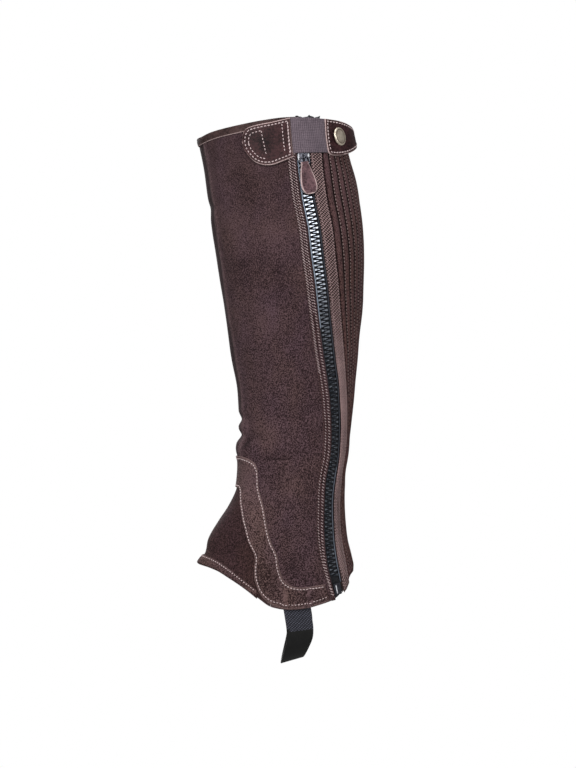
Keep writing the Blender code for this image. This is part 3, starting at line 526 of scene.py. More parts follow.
class Recipe:
    """A material's nodes, added one at a time. Sizes are in millimetres."""

    def __init__(self, name, roughness, specular=0.5, metallic=0.0):
        self.material = bpy.data.materials.new(name)
        self.material.use_nodes = True
        self.tree = self.material.node_tree
        self.shader = self.tree.nodes["Principled BSDF"]
        self.put("Roughness", roughness)
        self.put("Metallic", metallic)
        self.put("Specular IOR Level", specular)
        self.place = self.node("TexCoord", {}, "Object")

    def feed(self, socket, value):
        """Link a socket to another one, or set it to a number, a vector or a colour."""
        if isinstance(value, bpy.types.NodeSocket):
            self.tree.links.new(value, socket)
        else:
            socket.default_value = (*value, 1.0) if socket.type == "RGBA" else value

    def put(self, name, value):
        self.feed(self.shader.inputs[name], value)

    def node(self, kind, inputs, output=0, **settings):
        """Add a node and give one of its outputs."""
        made = self.tree.nodes.new("ShaderNode" + kind)
        for key, value in settings.items():
            setattr(made, key, value)
        for key, value in inputs.items():
            self.feed(made.inputs[key], value)
        return made.outputs[output]

    def math(self, operation, first, second=0.0):
        return self.node("Math", {0: first, 1: second}, operation=operation)

    def sum(self, *terms):
        return functools.reduce(functools.partial(self.math, "ADD"), terms)

    def scaled(self, value, factor, centre=0.0):
        """A value's distance from a centre, times a factor."""
        return self.math("MULTIPLY", self.math("SUBTRACT", value, centre), factor)

    def noise(self, size, detail=2, stretch=(1, 1, 1), roughness=0.5):
        scale = [1 / (size * MM) * share for share in stretch]
        vector = self.node("VectorMath", {0: self.place, 1: scale}, operation="MULTIPLY")
        inputs = {"Vector": vector, "Scale": 1, "Detail": detail, "Roughness": roughness}
        return self.node("TexNoise", inputs, "Fac")

    def mottle(self, size, gain, detail=2, stretch=(1, 1, 1)):
        """Noise about zero."""
        return self.scaled(self.noise(size, detail, stretch), gain, 0.5)

    def ramp(self, value, start, end, low, high):
        return self.node("MapRange", {0: value, 1: start, 2: end, 3: low, 4: high})

    def attribute(self, name, output="Fac"):
        return self.node("Attribute", {}, output, attribute_name=name)

    def axis(self, vector, index):
        return self.node("SeparateXYZ", {0: vector}, index)

    def cloth(self):
        """The distances in millimetres across and along a piece."""
        vector = self.attribute("cloth", "Vector")
        return self.axis(vector, 0), self.axis(vector, 1)

    def wave(self, distance, pitch):
        """A wave from 0 to 1 along a distance."""
        turned = self.math("SINE", self.math("MULTIPLY", distance, 2 * math.pi / pitch))
        return self.scaled(turned, 0.5, -1)

    def between(self, factor, low, high):
        return self.node("Mix", {"Factor": factor, 6: low, 7: high}, 2, data_type="RGBA")

    def colour(self, factor, low, high):
        self.put("Base Color", self.between(factor, low, high))

    def rubbed(self, base, worn, size):
        """A colour that wears through to another where the piece is rubbed."""
        self.colour(self.math("MULTIPLY", self.attribute("wear"), self.noise(size)), base, worn)

    def bump(self, height, depth, strength=1):
        """Relief from a height of 0 to 1. Depth is in millimetres."""
        inputs = {"Height": height, "Distance": depth * MM, "Strength": strength}
        self.put("Normal", self.node("Bump", inputs))

    def sheen(self, weight, tint):
        self.put("Sheen Weight", weight)
        self.put("Sheen Tint", tint)
        self.put("Sheen Roughness", 0.5)


def suede(name, dark, light, worn, contrast=1.0):
    """Brushed nap: clouds, patches, specks and lighter worn edges."""
    recipe = Recipe(name, 0.95, 0.15)
    clouds = recipe.mottle(36, 0.42 * contrast)
    patches = recipe.mottle(8, 0.22 * contrast, stretch=(1, 1, 0.7))
    fleck = recipe.noise(0.95, 1, (1, 1, 0.9), 0.8)
    # The nap is rubbed rougher towards the ankle.
    rough = recipe.ramp(recipe.axis(recipe.place, 2), 0.08, -0.18, 2.2 * contrast, 4.9 * contrast)
    specks = recipe.scaled(fleck, rough, 0.5)
    tone = recipe.sum(recipe.attribute("tone"), 0.4, clouds, patches, specks)
    # The dye turns from plum to brown in soft patches.
    hue = recipe.sum(0.5, recipe.mottle(27, 2.2, 1, (1, 1.3, 0.8)))
    plum = tuple(np.multiply(light, (0.97, 0.97, 1.07)))
    brown = tuple(np.multiply(light, (1.03, 1.03, 0.93)))
    recipe.rubbed(recipe.between(tone, dark, recipe.between(hue, plum, brown)), worn, 3)
    recipe.bump(recipe.sum(fleck, recipe.scaled(recipe.noise(0.7), 0.5)), 0.45, 0.8)
    recipe.sheen(0.04, (0.75, 0.62, 0.64))
    return recipe.material


def leather(name, dark, light, roughness=0.55):
    """Smooth leather: a pebbled grain, soft mottling and rubbed edges."""
    recipe = Recipe(name, roughness, 0.14)
    fleck = recipe.noise(1.9, 3, roughness=0.7)
    specks = recipe.scaled(fleck, 2.2, 0.5)
    tone = recipe.sum(recipe.attribute("tone"), 0.5, recipe.mottle(14, 1.4, 3), specks)
    recipe.rubbed(recipe.between(tone, dark, light), (0.20, 0.13, 0.12), 2.5)
    recipe.put("Roughness", recipe.sum(roughness - 0.1, recipe.scaled(fleck, 0.2)))
    grain = recipe.node("TexVoronoi", {"Vector": recipe.place, "Scale": 1 / (1.1 * MM)}, "Distance")
    recipe.bump(recipe.sum(recipe.scaled(grain, 0.6), fleck), 0.22, 0.7)
    return recipe.material


def thread(name, dark, light, streaks=(3.5, 1), fibres=(0.35, 1), depth=0.15, finish=(0.75, 0.3)):
    """Thread, and other small matt pieces: two noises give its colour and its relief."""
    recipe = Recipe(name, *finish)
    recipe.colour(recipe.noise(*streaks), dark, light)
    recipe.bump(recipe.noise(*fibres), depth)
    return recipe.material


def twill(name, dark, light, pitch):
    """Twill tape: diagonal ribs, crossed by finer ones that break them into dots."""
    recipe = Recipe(name, 0.85, 0.2)
    across, along = recipe.cloth()
    rib = recipe.wave(recipe.sum(along, across), pitch)
    cross = recipe.wave(recipe.math("SUBTRACT", recipe.scaled(across, 0.8), along), pitch * 0.8)
    height = recipe.math("MULTIPLY", rib, cross)
    # The weave closes up towards the foot, where it shows as a smooth tan band.
    smooth = recipe.ramp(recipe.attribute("tone"), 0.02, 0.22, 0, 0.75)
    closed = recipe.node("Mix", {0: smooth, 2: recipe.scaled(height, 2.6, 0.09), 3: 0.4})
    clouds = recipe.sum(recipe.mottle(16, 0.7), recipe.mottle(1.2, 1.4))
    recipe.colour(recipe.sum(closed, clouds, recipe.attribute("tone")), dark, light)
    recipe.bump(height, 0.45)
    recipe.sheen(0.1, (0.9, 0.8, 0.8))
    return recipe.material


def woven(name, dark, light, warp, weft, depth=0.3):
    """Plain weave: threads along the piece over threads across it."""
    recipe = Recipe(name, 0.85, 0.25)
    across, along = recipe.cloth()
    height = recipe.sum(recipe.scaled(recipe.wave(across, warp), 0.6),
                        recipe.scaled(recipe.wave(along, weft), 0.4))
    tone = recipe.sum(recipe.scaled(height, 0.8), recipe.mottle(1.4, 0.8), recipe.mottle(9, 0.5))
    recipe.colour(tone, dark, light)
    recipe.bump(height, depth)
    recipe.sheen(0.15, (0.85, 0.85, 0.95))
    return recipe.material


def metal(name, tarnish_and_painted_reflection, dark, light, gloss, relief, metallic=1.0):
    """Worn metal, coloured by a given function, which for the zip paints a reflection. gloss and
    relief each give a noise's size, detail and gain.
    """
    recipe = Recipe(name, 0.3, metallic=metallic)
    recipe.colour(tarnish_and_painted_reflection(recipe), dark, light)
    least, *cloud, gain = gloss
    recipe.put("Roughness", recipe.sum(least, recipe.scaled(recipe.noise(*cloud), gain)))
    *grain, depth = relief
    recipe.bump(recipe.noise(*grain), depth)
    return recipe.material


def reflection_painted_by_height(recipe):
    """Painted reflection: bright by the calf, where the teeth would face the lamps, turning to dark
    metal by the ankle.
    """
    fade = recipe.ramp(recipe.axis(recipe.place, 2), -0.11, 0.075, 0, 1)
    return recipe.sum(fade, recipe.scaled(recipe.noise(1.6, 3), 1.9, 0.45))


def smooth_black(name):
    """The plain, darker part of the strap, below a set level, where it goes under the shoe."""
    recipe = Recipe(name, 0.6, 0.3)
    recipe.colour(recipe.noise(5, 3), (0.004, 0.004, 0.004), (0.013, 0.013, 0.012))
    recipe.bump(recipe.wave(recipe.cloth()[0], 1.6), 0.12, 0.6)
    return recipe.material


SUEDE = suede("suede", (0.0135, 0.006, 0.007), (0.107, 0.062, 0.068), (0.19, 0.125, 0.13))
SUEDE_FACING = suede("suede_facing", (0.008, 0.0035, 0.004), (0.072, 0.038, 0.04),
                     (0.12, 0.075, 0.075))
SUEDE_OVERLAY = suede("suede_overlay", (0.017, 0.008, 0.0078), (0.132, 0.079, 0.078),
                      (0.22, 0.145, 0.14), 1.25)
SUEDE_DARK = suede("suede_dark", (0.011, 0.0047, 0.0047), (0.064, 0.032, 0.033), (0.14, 0.09, 0.09))
SUEDE_HEM = suede("suede_hem", (0.02, 0.01, 0.01), (0.118, 0.068, 0.069), (0.22, 0.15, 0.15))
SUEDE_STRETCH = suede("stretch_suede", (0.01, 0.004, 0.004), (0.12, 0.063, 0.062),
                      (0.17, 0.11, 0.105), 1.2)
BINDING = leather("binding_leather", (0.013, 0.0065, 0.006), (0.072, 0.041, 0.039), 0.7)
TAB_LEATHER = leather("tab_leather", (0.005, 0.0015, 0.002), (0.064, 0.026, 0.028))
PULL_SKIN = leather("pull_leather", (0.016, 0.006, 0.008), (0.185, 0.1, 0.112), 0.5)
RAW_EDGE_SKIN = thread("raw_edge", (0.25, 0.165, 0.16), (0.66, 0.51, 0.5), (1.5, 3), (0.6, 2), 0.3,
                       (0.9, 0.2))
PALE_THREAD = thread("pale_thread", (0.36, 0.27, 0.27), (0.74, 0.6, 0.6))
FACING_THREAD = thread("facing_thread", (0.2, 0.13, 0.13), (0.7, 0.56, 0.56))
ROSE_THREAD = thread("rose_thread", (0.24, 0.15, 0.145), (0.46, 0.33, 0.33))
DULL_THREAD = thread("dull_thread", (0.13, 0.09, 0.085), (0.32, 0.23, 0.22))
CORD_THREAD = thread("cord_thread", (0.2, 0.25, 0.33), (0.56, 0.63, 0.75))
DIM_CORD = thread("dim_cord", (0.045, 0.052, 0.068), (0.14, 0.16, 0.2))
# A pale matt finish for painted highlights on the slider and on the zip's box.
PAINTED_HIGHLIGHT = thread("painted_highlight", (0.45, 0.46, 0.5), (0.85, 0.86, 0.9))
DARK_CORD = thread("dark_cord", (0.015, 0.016, 0.02), (0.06, 0.065, 0.085))
TWILL = twill("twill_tape", (0.01, 0.004, 0.004), (0.33, 0.215, 0.212), 2.9)
ZIP_TAPE = woven("zip_tape", (0.004, 0.004, 0.005), (0.02, 0.02, 0.024), 0.8, 0.6)
ELASTIC_WEAVE = woven("elastic", (0.062, 0.046, 0.058), (0.19, 0.145, 0.172), 1.7, 1.5, 0.25)
STRAP_WEAVE = twill("strap_elastic", (0.014, 0.014, 0.019), (0.088, 0.09, 0.118), 2.7)
STRAP_SMOOTH = smooth_black("strap_smooth")
# The zip's teeth carry a painted reflection: bright above, dark below.
CHROME = metal("zip_metal", reflection_painted_by_height, (0.04, 0.047, 0.062), (0.6, 0.65, 0.74),
               (0.22, 2, 2, 0.2), (1.2, 2, 0.08), 0.6)
GUNMETAL = metal("dark_metal", lambda recipe: recipe.noise(2.4, 3), (0.02, 0.02, 0.026),
                 (0.16, 0.16, 0.19), (0.2, 2.4, 3, 0.3), (0.8, 2, 0.06))
BRASS = metal("brass", lambda recipe: recipe.sum(recipe.noise(3, 4), recipe.attribute("tone")),
              (0.16, 0.11, 0.075), (0.86, 0.76, 0.62), (0.25, 1.5, 3, 0.35), (1, 3, 0.1), 0.85)


# ---------------------------------------------------------------- making pieces

CUTS = {}                       # the grid of each wall, and which of its cells are cloth


def add_mesh(name, points, faces, materials, body="chap", replaces=(), slot=None, attributes=None,
             face_material=None, sharp=35.0):
    """Make a piece from points in millimetres, with its faces turned outwards."""
    mesh = bpy.data.meshes.new(name)
    mesh.from_pydata((np.asarray(points) * MM).tolist(), [], faces)
    for key, values in (attributes or {}).items():
        values = np.asarray(values, np.float32)
        kind, field = ("FLOAT_VECTOR", "vector") if values.ndim == 2 else ("FLOAT", "value")
        mesh.attributes.new(key, kind, "POINT").data.foreach_set(field, values.ravel())
    if face_material is not None:
        mesh.polygons.foreach_set("material_index", np.asarray(face_material, np.int32))
    form = bmesh.new()
    form.from_mesh(mesh)
    bmesh.ops.delete(form, geom=[v for v in form.verts if not v.link_faces], context="VERTS")
    bmesh.ops.recalc_face_normals(form, faces=form.faces)
    form.to_mesh(mesh)
    form.free()
    mesh.shade_smooth()
    mesh.set_sharp_from_angle(angle=math.radians(sharp))
    for material in materials:
        mesh.materials.append(material)
    piece = bpy.data.objects.new(name, mesh)
    bpy.context.scene.collection.objects.link(piece)
    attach(piece, body)
    if replaces:
        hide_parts(*replaces)
    return piece


def grid_faces(keep):
    """Faces of a wall between two grids: the outer cells, the inner cells and the rims."""
    rows, columns = keep.shape
    index = np.arange((rows + 1) * (columns + 1)).reshape(rows + 1, columns + 1)
    corners = (index[:-1, :-1], index[:-1, 1:], index[1:, 1:], index[1:, :-1])
    outer = np.stack(corners, axis=-1)[keep]
    back = index.size
    padded = np.pad(keep, 1)
    rims = []
    for side, (row, column) in enumerate(((-1, 0), (0, 1), (1, 0), (0, -1))):
        beside = padded[1 + row:1 + row + rows, 1 + column:1 + column + columns]
        start = corners[side][keep & ~beside]
        end = corners[(side + 1) % 4][keep & ~beside]
        rims.append(np.stack([start, start + back, end + back, end], axis=-1))
    return outer, outer[:, ::-1] + back, np.concatenate(rims)


def solid_of(name):
    """The solid that a piece stands in for: its name without the last word."""
    return [name.rpartition("_")[0]]


def make_wall(name, grid, layer, materials, relief=None, keep=None, roll=EDGE_ROLL,
              cloth_tone=NAP_CLOUDS_AND_PAINTED_LIGHT, wear_reach=0.8, worn_sides=("edge",), lift=0.0, shade=0.0,
              slot="suede", stands_in=True):
    """A wall on the leg surface, with rolled edges and a relief on its outer face.

    A second material goes on the rims and on the strip of the outer face beside them.
    """
    angle, height = grid
    base = leg_surface(angle, height)
    normal = leg_normal(angle, height)
    sides = side_distances(base)
    out = lift + layer[1] - rolled(sides["edge"], roll)
    if relief is not None:
        out = out + relief(angle, height, sides)
    if keep is None:
        keep = np.ones((angle.shape[0] - 1, angle.shape[1] - 1), bool)
    outer = (base + normal * out[..., None]).reshape(-1, 3)
    inner = (base + normal * (lift + layer[0] + 0 * out)[..., None]).reshape(-1, 3)
    outer_faces, inner_faces, rims = grid_faces(keep)
    faces = np.concatenate([outer_faces, inner_faces, rims])
    face_material = None
    if len(materials) > 1:
        near = sides["edge"].ravel()[outer_faces].mean(axis=1) < RAW_EDGE
        face_material = np.concatenate([near, np.zeros(len(inner_faces)), np.ones(len(rims))])
    wear = np.max([np.exp(-sides[side] / wear_reach) for side in worn_sides], axis=0)
    cloth = np.stack([sides["left"], sides["first"], sides["edge"]], axis=-1).reshape(-1, 3)
    tone = (spots(cloth_tone, angle, height) + shade).ravel()
    attributes = {"cloth": (cloth, cloth), "tone": (tone, tone), "wear": (wear.ravel(), 0 * tone)}
    CUTS[name] = grid, keep
    add_mesh(name, np.concatenate([outer, inner]), faces.tolist(), materials,
             replaces=solid_of(name) if stands_in else (), slot=slot, face_material=face_material,
             attributes={key: np.concatenate(values) for key, values in attributes.items()})


def quad_areas(points):
    one = points[1:, 1:] - points[:-1, :-1]
    other = points[1:, :-1] - points[:-1, 1:]
    return np.linalg.norm(np.cross(one, other), axis=-1) / 2


def declare_sheet(name):
    """Work out how large a wall was cut: its widest and longest line, and its area. Nothing is done
    with them.
    """
    grid, keep = CUTS[name]
    points = skin(*grid, 1.0)
    sides = side_distances(points)
    flat = (float(sides["left"][:, -1].max()) * MM, float(sides["first"][-1].max()) * MM)
    area = min(float(quad_areas(points)[keep].sum()) * MM ** 2, flat[0] * flat[1])


def round_turns(sides):
    return np.linspace(0, 2 * math.pi, sides, endpoint=False)


def joined(parts):
    """One set of points and faces from several."""
    points, faces, count = [], [], 0
    for part_points, part_faces in parts:
        points.append(part_points)
        faces.extend([[index + count for index in face] for face in part_faces])
        count += len(part_points)
    return np.concatenate(points), faces


def tube(path, radius, sides=8, closed=False, normal=None):
    """Points and faces of a round cord along a path. radius may differ along it."""
    path = np.asarray(path, float)
    count = len(path)
    radius = np.broadcast_to(radius, count)
    if closed:
        tangent = np.roll(path, -1, axis=0) - np.roll(path, 1, axis=0)
    else:
        tangent = np.gradient(path, axis=0)
    tangent = unit(tangent)
    if normal is None:
        normal = np.broadcast_to((0.0, 0.0, 1.0), path.shape)
    side = unit(np.cross(tangent, normal))
    top = np.cross(side, tangent)
    turns = round_turns(sides)
    rings = path[:, None] + radius[:, None, None] * (
        np.cos(turns)[None, :, None] * side[:, None] + np.sin(turns)[None, :, None] * top[:, None])
    return rings.reshape(-1, 3), ring_faces(count, sides, closed)


def ring_faces(count, sides, closed=False):
    """Faces that join rings of points, one after the other, and close the two ends."""
    faces = []
    for ring in range(count if closed else count - 1):
        following = (ring + 1) % count
        for side in range(sides):
            beyond = (side + 1) % sides
            faces.append([ring * sides + side, ring * sides + beyond,
                          following * sides + beyond, following * sides + side])
    if not closed:
        faces.append(list(range(sides)))
        faces.append([(count - 1) * sides + side for side in range(sides)])
    return faces


def stacked(outline, levels):
    """Rings of one outline, each shrunk by a distance and moved out to a level."""
    inward = unit(outline.mean(axis=0) - outline)
    rings = [np.column_stack([outline + inward * shrink, np.full(len(outline), out)])
             for shrink, out in levels]
    return np.concatenate(rings), ring_faces(len(rings), len(outline))


# ---------------------------------------------------------------- sewing

def stitch_form(sides=6):
    """A stitch of unit half length and radius, which dips at its ends."""
    points = []
    for x, radius, drop in ((-1.0, 0.45, -0.9), (-0.55, 1.0, 0.0), (0.55, 1.0, 0.0),
                            (1.0, 0.45, -0.9)):
        for turn in round_turns(sides):
            points.append((x, radius * math.cos(turn), radius * math.sin(turn) + drop))
    return np.array(points), ring_faces(4, sides)


def stitch_line(angle, height, out, pitch, slant=0.0, shift=0.0, low_slant=None):
    """Centres, directions and normals of the stitches along a line on the surface.

    low_slant is the slant that the stitches turn to by the ankle.
    """
    angle, height = np.broadcast_arrays(np.asarray(angle, float), np.asarray(height, float))
    points = skin(angle, height, out)
    fresh = np.append(True, np.linalg.norm(np.diff(points, axis=0), axis=1) > 1e-4)
    angle, height, points = angle[fresh], height[fresh], points[fresh]
    gone = travelled(points)
    count = int((gone[-1] - shift) / pitch)
    places = (np.arange(count) + 0.5) * pitch + shift

    def at(values):
        return np.stack([np.interp(places, gone, column) for column in values.T], axis=-1)

    level = np.interp(places, gone, height)
    normal = leg_normal(np.interp(places, gone, angle), level)
    turned = np.clip(level / COMB_LEVEL, 0, 1)[:, None]
    slant = slant + turned * ((slant if low_slant is None else low_slant) - slant)
    direction = unit(at(np.gradient(points, gone, axis=0)))
    side = np.cross(normal, direction)
    slanted = direction * np.cos(slant) + side * np.sin(slant)
    return at(points), slanted, normal


def sew(name, lines, kind, material, slot="suede"):
    """Lay the stitches of several lines as one mesh."""
    length, radius, _ = STITCHES[kind]
    form, form_faces = stitch_form()
    centre, direction, normal = (np.concatenate(values) for values in zip(*lines))
    side = np.cross(normal, direction)
    points = (
        centre[:, None]
        + form[None, :, :1] * direction[:, None] * length / 2
        + form[None, :, 1:2] * side[:, None] * radius
        + form[None, :, 2:] * normal[:, None] * radius
    )
    add_mesh(name, *joined([(stitch, form_faces) for stitch in points]), [material], slot=slot)


def rung_line(rungs, inset, from_low, count=400):
    """A line along one edge of a ladder piece, some way in from it."""
    edges = ladder_grid(rungs, np.linspace(0, 1, count), np.array([0.0, 1.0]))
    width = np.linalg.norm(np.diff(leg_surface(*edges), axis=0)[0], axis=-1)
    share = np.broadcast_to(inset, count) / width
    share = share if from_low else 1 - share
    return tuple(edge[0] * (1 - share) + edge[1] * share for edge in edges)


def outline_line(rungs, inset):
    """The closed outline of a ladder piece, moved inwards."""
    angle, height = ladder_grid(rungs, np.linspace(0, 1, 160), np.linspace(0, 1, 24))
    ring = [np.concatenate([values[0], values[1:, -1], values[-1][-2::-1], values[-2::-1, 0]])
            for values in (angle, height)]
    scale = per_degree(angle.mean(), height.mean())
    loop = np.stack([ring[0] * scale, ring[1]], axis=-1)
    ahead = np.roll(loop, -1, axis=0) - np.roll(loop, 1, axis=0)
    ahead /= np.maximum(np.linalg.norm(ahead, axis=1, keepdims=True), 1e-9)
    inward = np.stack([-ahead[:, 1], ahead[:, 0]], axis=-1)
    moved = loop + inward * inset
    clear = np.linalg.norm(moved[:, None] - loop[None], axis=-1).min(axis=1) > inset - 0.12
    kept = moved[clear]
    kept = np.concatenate([kept, kept[:1]])
    return kept[:, 0] / scale, kept[:, 1]


# ---------------------------------------------------------------- the cloth pieces

def make_outer_panel():
    grid = panel_grid(seam_edge(instep_angle, 1), beside_zip(-ZIP_HALF_GAP),
                      spaced(92.0, PANEL_STEP), row_levels())
    make_wall("outer_panel_suede", grid, PANEL, [SUEDE],
              lambda angle, height, sides: seam_bead(sides["left"]) * (height > INSTEP_TOP),
              wear_reach=PANEL_WEAR)


def make_inner_panel():
    """It runs from the far seam over the shin to the front seam, and stops at the instep."""
    rows = row_levels()
    side_across = spaced(120.0, PANEL_STEP)
    side = panel_grid(seam_edge(far_seam, 1), across_shin(instep_angle), side_across, rows)
    edge = seam_edge(instep_angle, -1)
    front = panel_grid(across_shin(instep_angle), lambda height: 360.0 + edge(height),
                       spaced(34.0, PANEL_STEP), rows)
    angle, height = side_by_side(side, front)
    top_of_instep = np.flatnonzero(np.isclose(rows, INSTEP_TOP))[0]
    keep = np.ones((len(rows) - 1, angle.shape[1] - 1), bool)
    keep[top_of_instep:, len(side_across) - 1:] = False
    height[top_of_instep, len(side_across) - 1:] += SEAM_GAP / 2

    make_wall("inner_panel_suede", (angle, height), PANEL, [SUEDE],
              lambda angle, height, sides: seam_bead(sides["right"]), keep, shade=-0.2,
              wear_reach=PANEL_WEAR)


def make_stretch_panel():
    """The ribbed panel: a flat margin under the rear facing, then ribs to the far seam."""
    rows = row_levels()
    steps = np.array([0.0, 0.07, 0.16, 0.3, 0.5, 0.7, 0.84, 0.93])
    across = np.concatenate([rib + steps for rib in range(RIBS)] + [[float(RIBS)]]) / RIBS
    margin = panel_grid(beside_zip(ZIP_HALF_GAP), rib_edge, np.linspace(0, 1, 5), rows)
    ribbed = panel_grid(rib_edge, seam_edge(far_seam, -1), across, rows)
    rib_share = np.concatenate([np.zeros(4), (across * RIBS) % 1.0])

    def relief(angle, height, sides):
        fade = np.clip((sides["first"] - 4.0) / 9.0, 0, 1) * np.clip(sides["last"] / 7.0, 0, 1)
        # A full round crown with a tight groove on both sides.
        return RIB_HEIGHT * (1 - np.abs(2 * rib_share - 1) ** 2.6)[None, :] * fade

    # Painted shade: the grooves between the ribs are painted darker, the crowns a little lighter.
    depth = np.exp(-(np.minimum(rib_share, 1 - rib_share) / GROOVE) ** 2)
    make_wall("stretch_panel_suede", side_by_side(margin, ribbed), (0.0, STRETCH_BASE),
              [SUEDE_STRETCH], relief, shade=0.3 - 1.7 * depth, slot="stretch_suede")
    lines = []
    level = between(rows, RIB_SEWN)
    for rib in range(1, RIBS):
        def groove(height, rib=rib):
            start = rib_edge(height)
            return start + (far_seam(height) - start) * (rib + GROOVE) / RIBS

        lines.append(stitch_line(*line_grid(groove, level), RIB_SEWING, STITCHES["rib"][2]))
    sew("rib_stitches", lines, "rib", DULL_THREAD, "stretch_suede")


def make_instep_panel():
    edge = seam_edge(instep_angle, -1)
    grid = panel_grid(across_shin(edge), lambda height: 360.0 + edge(height), spaced(110.0, 2.4),
                      row_levels(ROW_BANDS[3:]))
    grid[1][0] -= SEAM_GAP / 2
    make_wall("instep_panel_suede", grid, PANEL, [SUEDE_DARK], slot="suede_dark")


def make_overlay():
    """The reinforcement across the instep, along both hems, with a row of sewing by each edge."""
    rungs = {}
    for column, values in OVERLAY_RUNGS.items():
        mirrored = -values if column.endswith("angle") else values
        rungs[column] = np.concatenate([mirrored[:0:-1], values[:OUTER_RUNGS]])
    grid = ladder_grid(rungs, spaced(460.0, 2.6), spaced(27.0, 1.4, (0.3, 0.8, 1.4, 2.0, 2.6)))

    def relief(angle, height, sides):
        return -0.35 * sum(swell(sides[side], OVERLAY_INSET, 0.7) for side in ("first", "last"))

    make_wall("ankle_overlay_suede", grid, OVERLAY, [SUEDE_OVERLAY], relief,
              cloth_tone=OVERLAY_TONES, worn_sides=("first", "last"), wear_reach=1.2)
    pitch = STITCHES["overlay"][2]
    out = OVERLAY[1] - 0.12
    from_ankle = from_shin(ladder_grid(rungs, np.linspace(0, 1, 400), np.zeros(1))[0][0])
    # Past the ankle the lower row keeps further from the hem.
    low_inset = OVERLAY_INSET + 2.4 * np.clip((from_ankle - 80.0) / 12.0, 0, 1)
    lines = [stitch_line(*rung_line(rungs, inset, low), out, pitch)
             for inset, low in ((OVERLAY_INSET, False), (low_inset, True))]
    sew("overlay_stitches", lines, "overlay", PALE_THREAD)


def band_profile(reach, inside, outside, height):
    """The section of a strip folded over an edge, as pairs of distance out and inwards."""
    middle = (outside[1] + inside[0]) / 2
    half = (outside[1] - inside[0]) / 2
    top = outside[1]
    fold = [(middle + half * math.cos(turn), -height * math.sin(turn) - 0.1)
            for turn in np.linspace(0, math.pi, 9)]
    return [(top - 0.45, reach), (top - 0.05, reach - 0.5), (top, reach - 1.6),
            (top + 0.15, reach * 0.45), *fold, (inside[0], reach), (inside[1], reach),
            (inside[1], SEAM_GAP), (outside[0], SEAM_GAP), (outside[0], reach)]


def make_band(name, edge, beside, reach, materials, slot):
    """A strip folded over the edge of the panels, swept along the columns of their edge."""
    outs, inwards = np.array(band_profile(reach, TRIM_INSIDE, TRIM, BAND_OVER)).T
    share = inwards[None, :] / np.abs(beside[1] - edge[1])[:, None]
    angle = edge[0][:, None] + share * (beside[0] - edge[0])[:, None]
    high = edge[1][:, None] + share * (beside[1] - edge[1])[:, None]
    points = skin(angle, high, np.broadcast_to(outs, angle.shape))
    count, sides = angle.shape
    faces = ring_faces(count, sides)
    cloth = np.stack([np.broadcast_to(travelled(points[:, 0])[:, None], angle.shape),
                      np.broadcast_to(inwards[None, :], angle.shape), 0 * angle], axis=-1)
    wear = np.broadcast_to(0.4 * np.exp(-np.abs(reach - inwards) / 0.8) * (outs > 0), angle.shape)
    attributes = {"cloth": cloth.reshape(-1, 3), "tone": spots(NAP_CLOUDS_AND_PAINTED_LIGHT, angle, high).ravel(),
                  "wear": wear.ravel()}
    face_material = None
    if len(materials) > 1:
        face_material = np.zeros(len(faces))
        rows = np.arange(count - 1) * sides
        face_material[rows] = 1
        face_material[rows + sides - 1] = 1
    add_mesh(name, points.reshape(-1, 3), faces, materials, replaces=solid_of(name), slot=slot,
             attributes=attributes, face_material=face_material)


def make_rim_band():
    angle = np.linspace(from_zip(RIM_LEVEL, ZIP_HALF_GAP),
                        360.0 + from_zip(RIM_LEVEL, -ZIP_HALF_GAP), 181)
    rim = rim_height(angle)
    make_band("rim_binding_leather", (angle, rim), (angle, rim - 6.0), RIM_BAND,
              [BINDING, RAW_EDGE_SKIN], "binding_leather")


def make_hem_band():
    angle = np.linspace(-HEM_BAND_END + 1.0, HEM_BAND_END - 1.0, 111)
    hem = hem_height(angle)
    make_band("hem_binding_suede", (angle, hem), (angle, hem + 6.0), HEM_BAND, [SUEDE_HEM],
              "suede_dark")
    lines = [stitch_line(angle, hem + HEM_BAND - 1.2, TRIM[1] - 0.1, STITCHES["hem"][2])]
    sew("hem_stitches", lines, "hem", PALE_THREAD, "suede_dark")


# ---------------------------------------------------------------- the zip and its facings

# Cords at the edges of the tape: name, distance from the zip, top and bottom level, thread.
ZIP_CORDS = (
    ("front_top", -4.8, CHAIN_TOP + 2.0, -70.0, CORD_THREAD),
    ("front_low", -5.2, -70.5, CHAIN_BOTTOM, DARK_CORD),
    ("back_top", 5.2, CHAIN_TOP + 2.0, -190.0, DARK_CORD),
    ("back_low", 4.9, -190.5, CHAIN_BOTTOM, DIM_CORD),
)


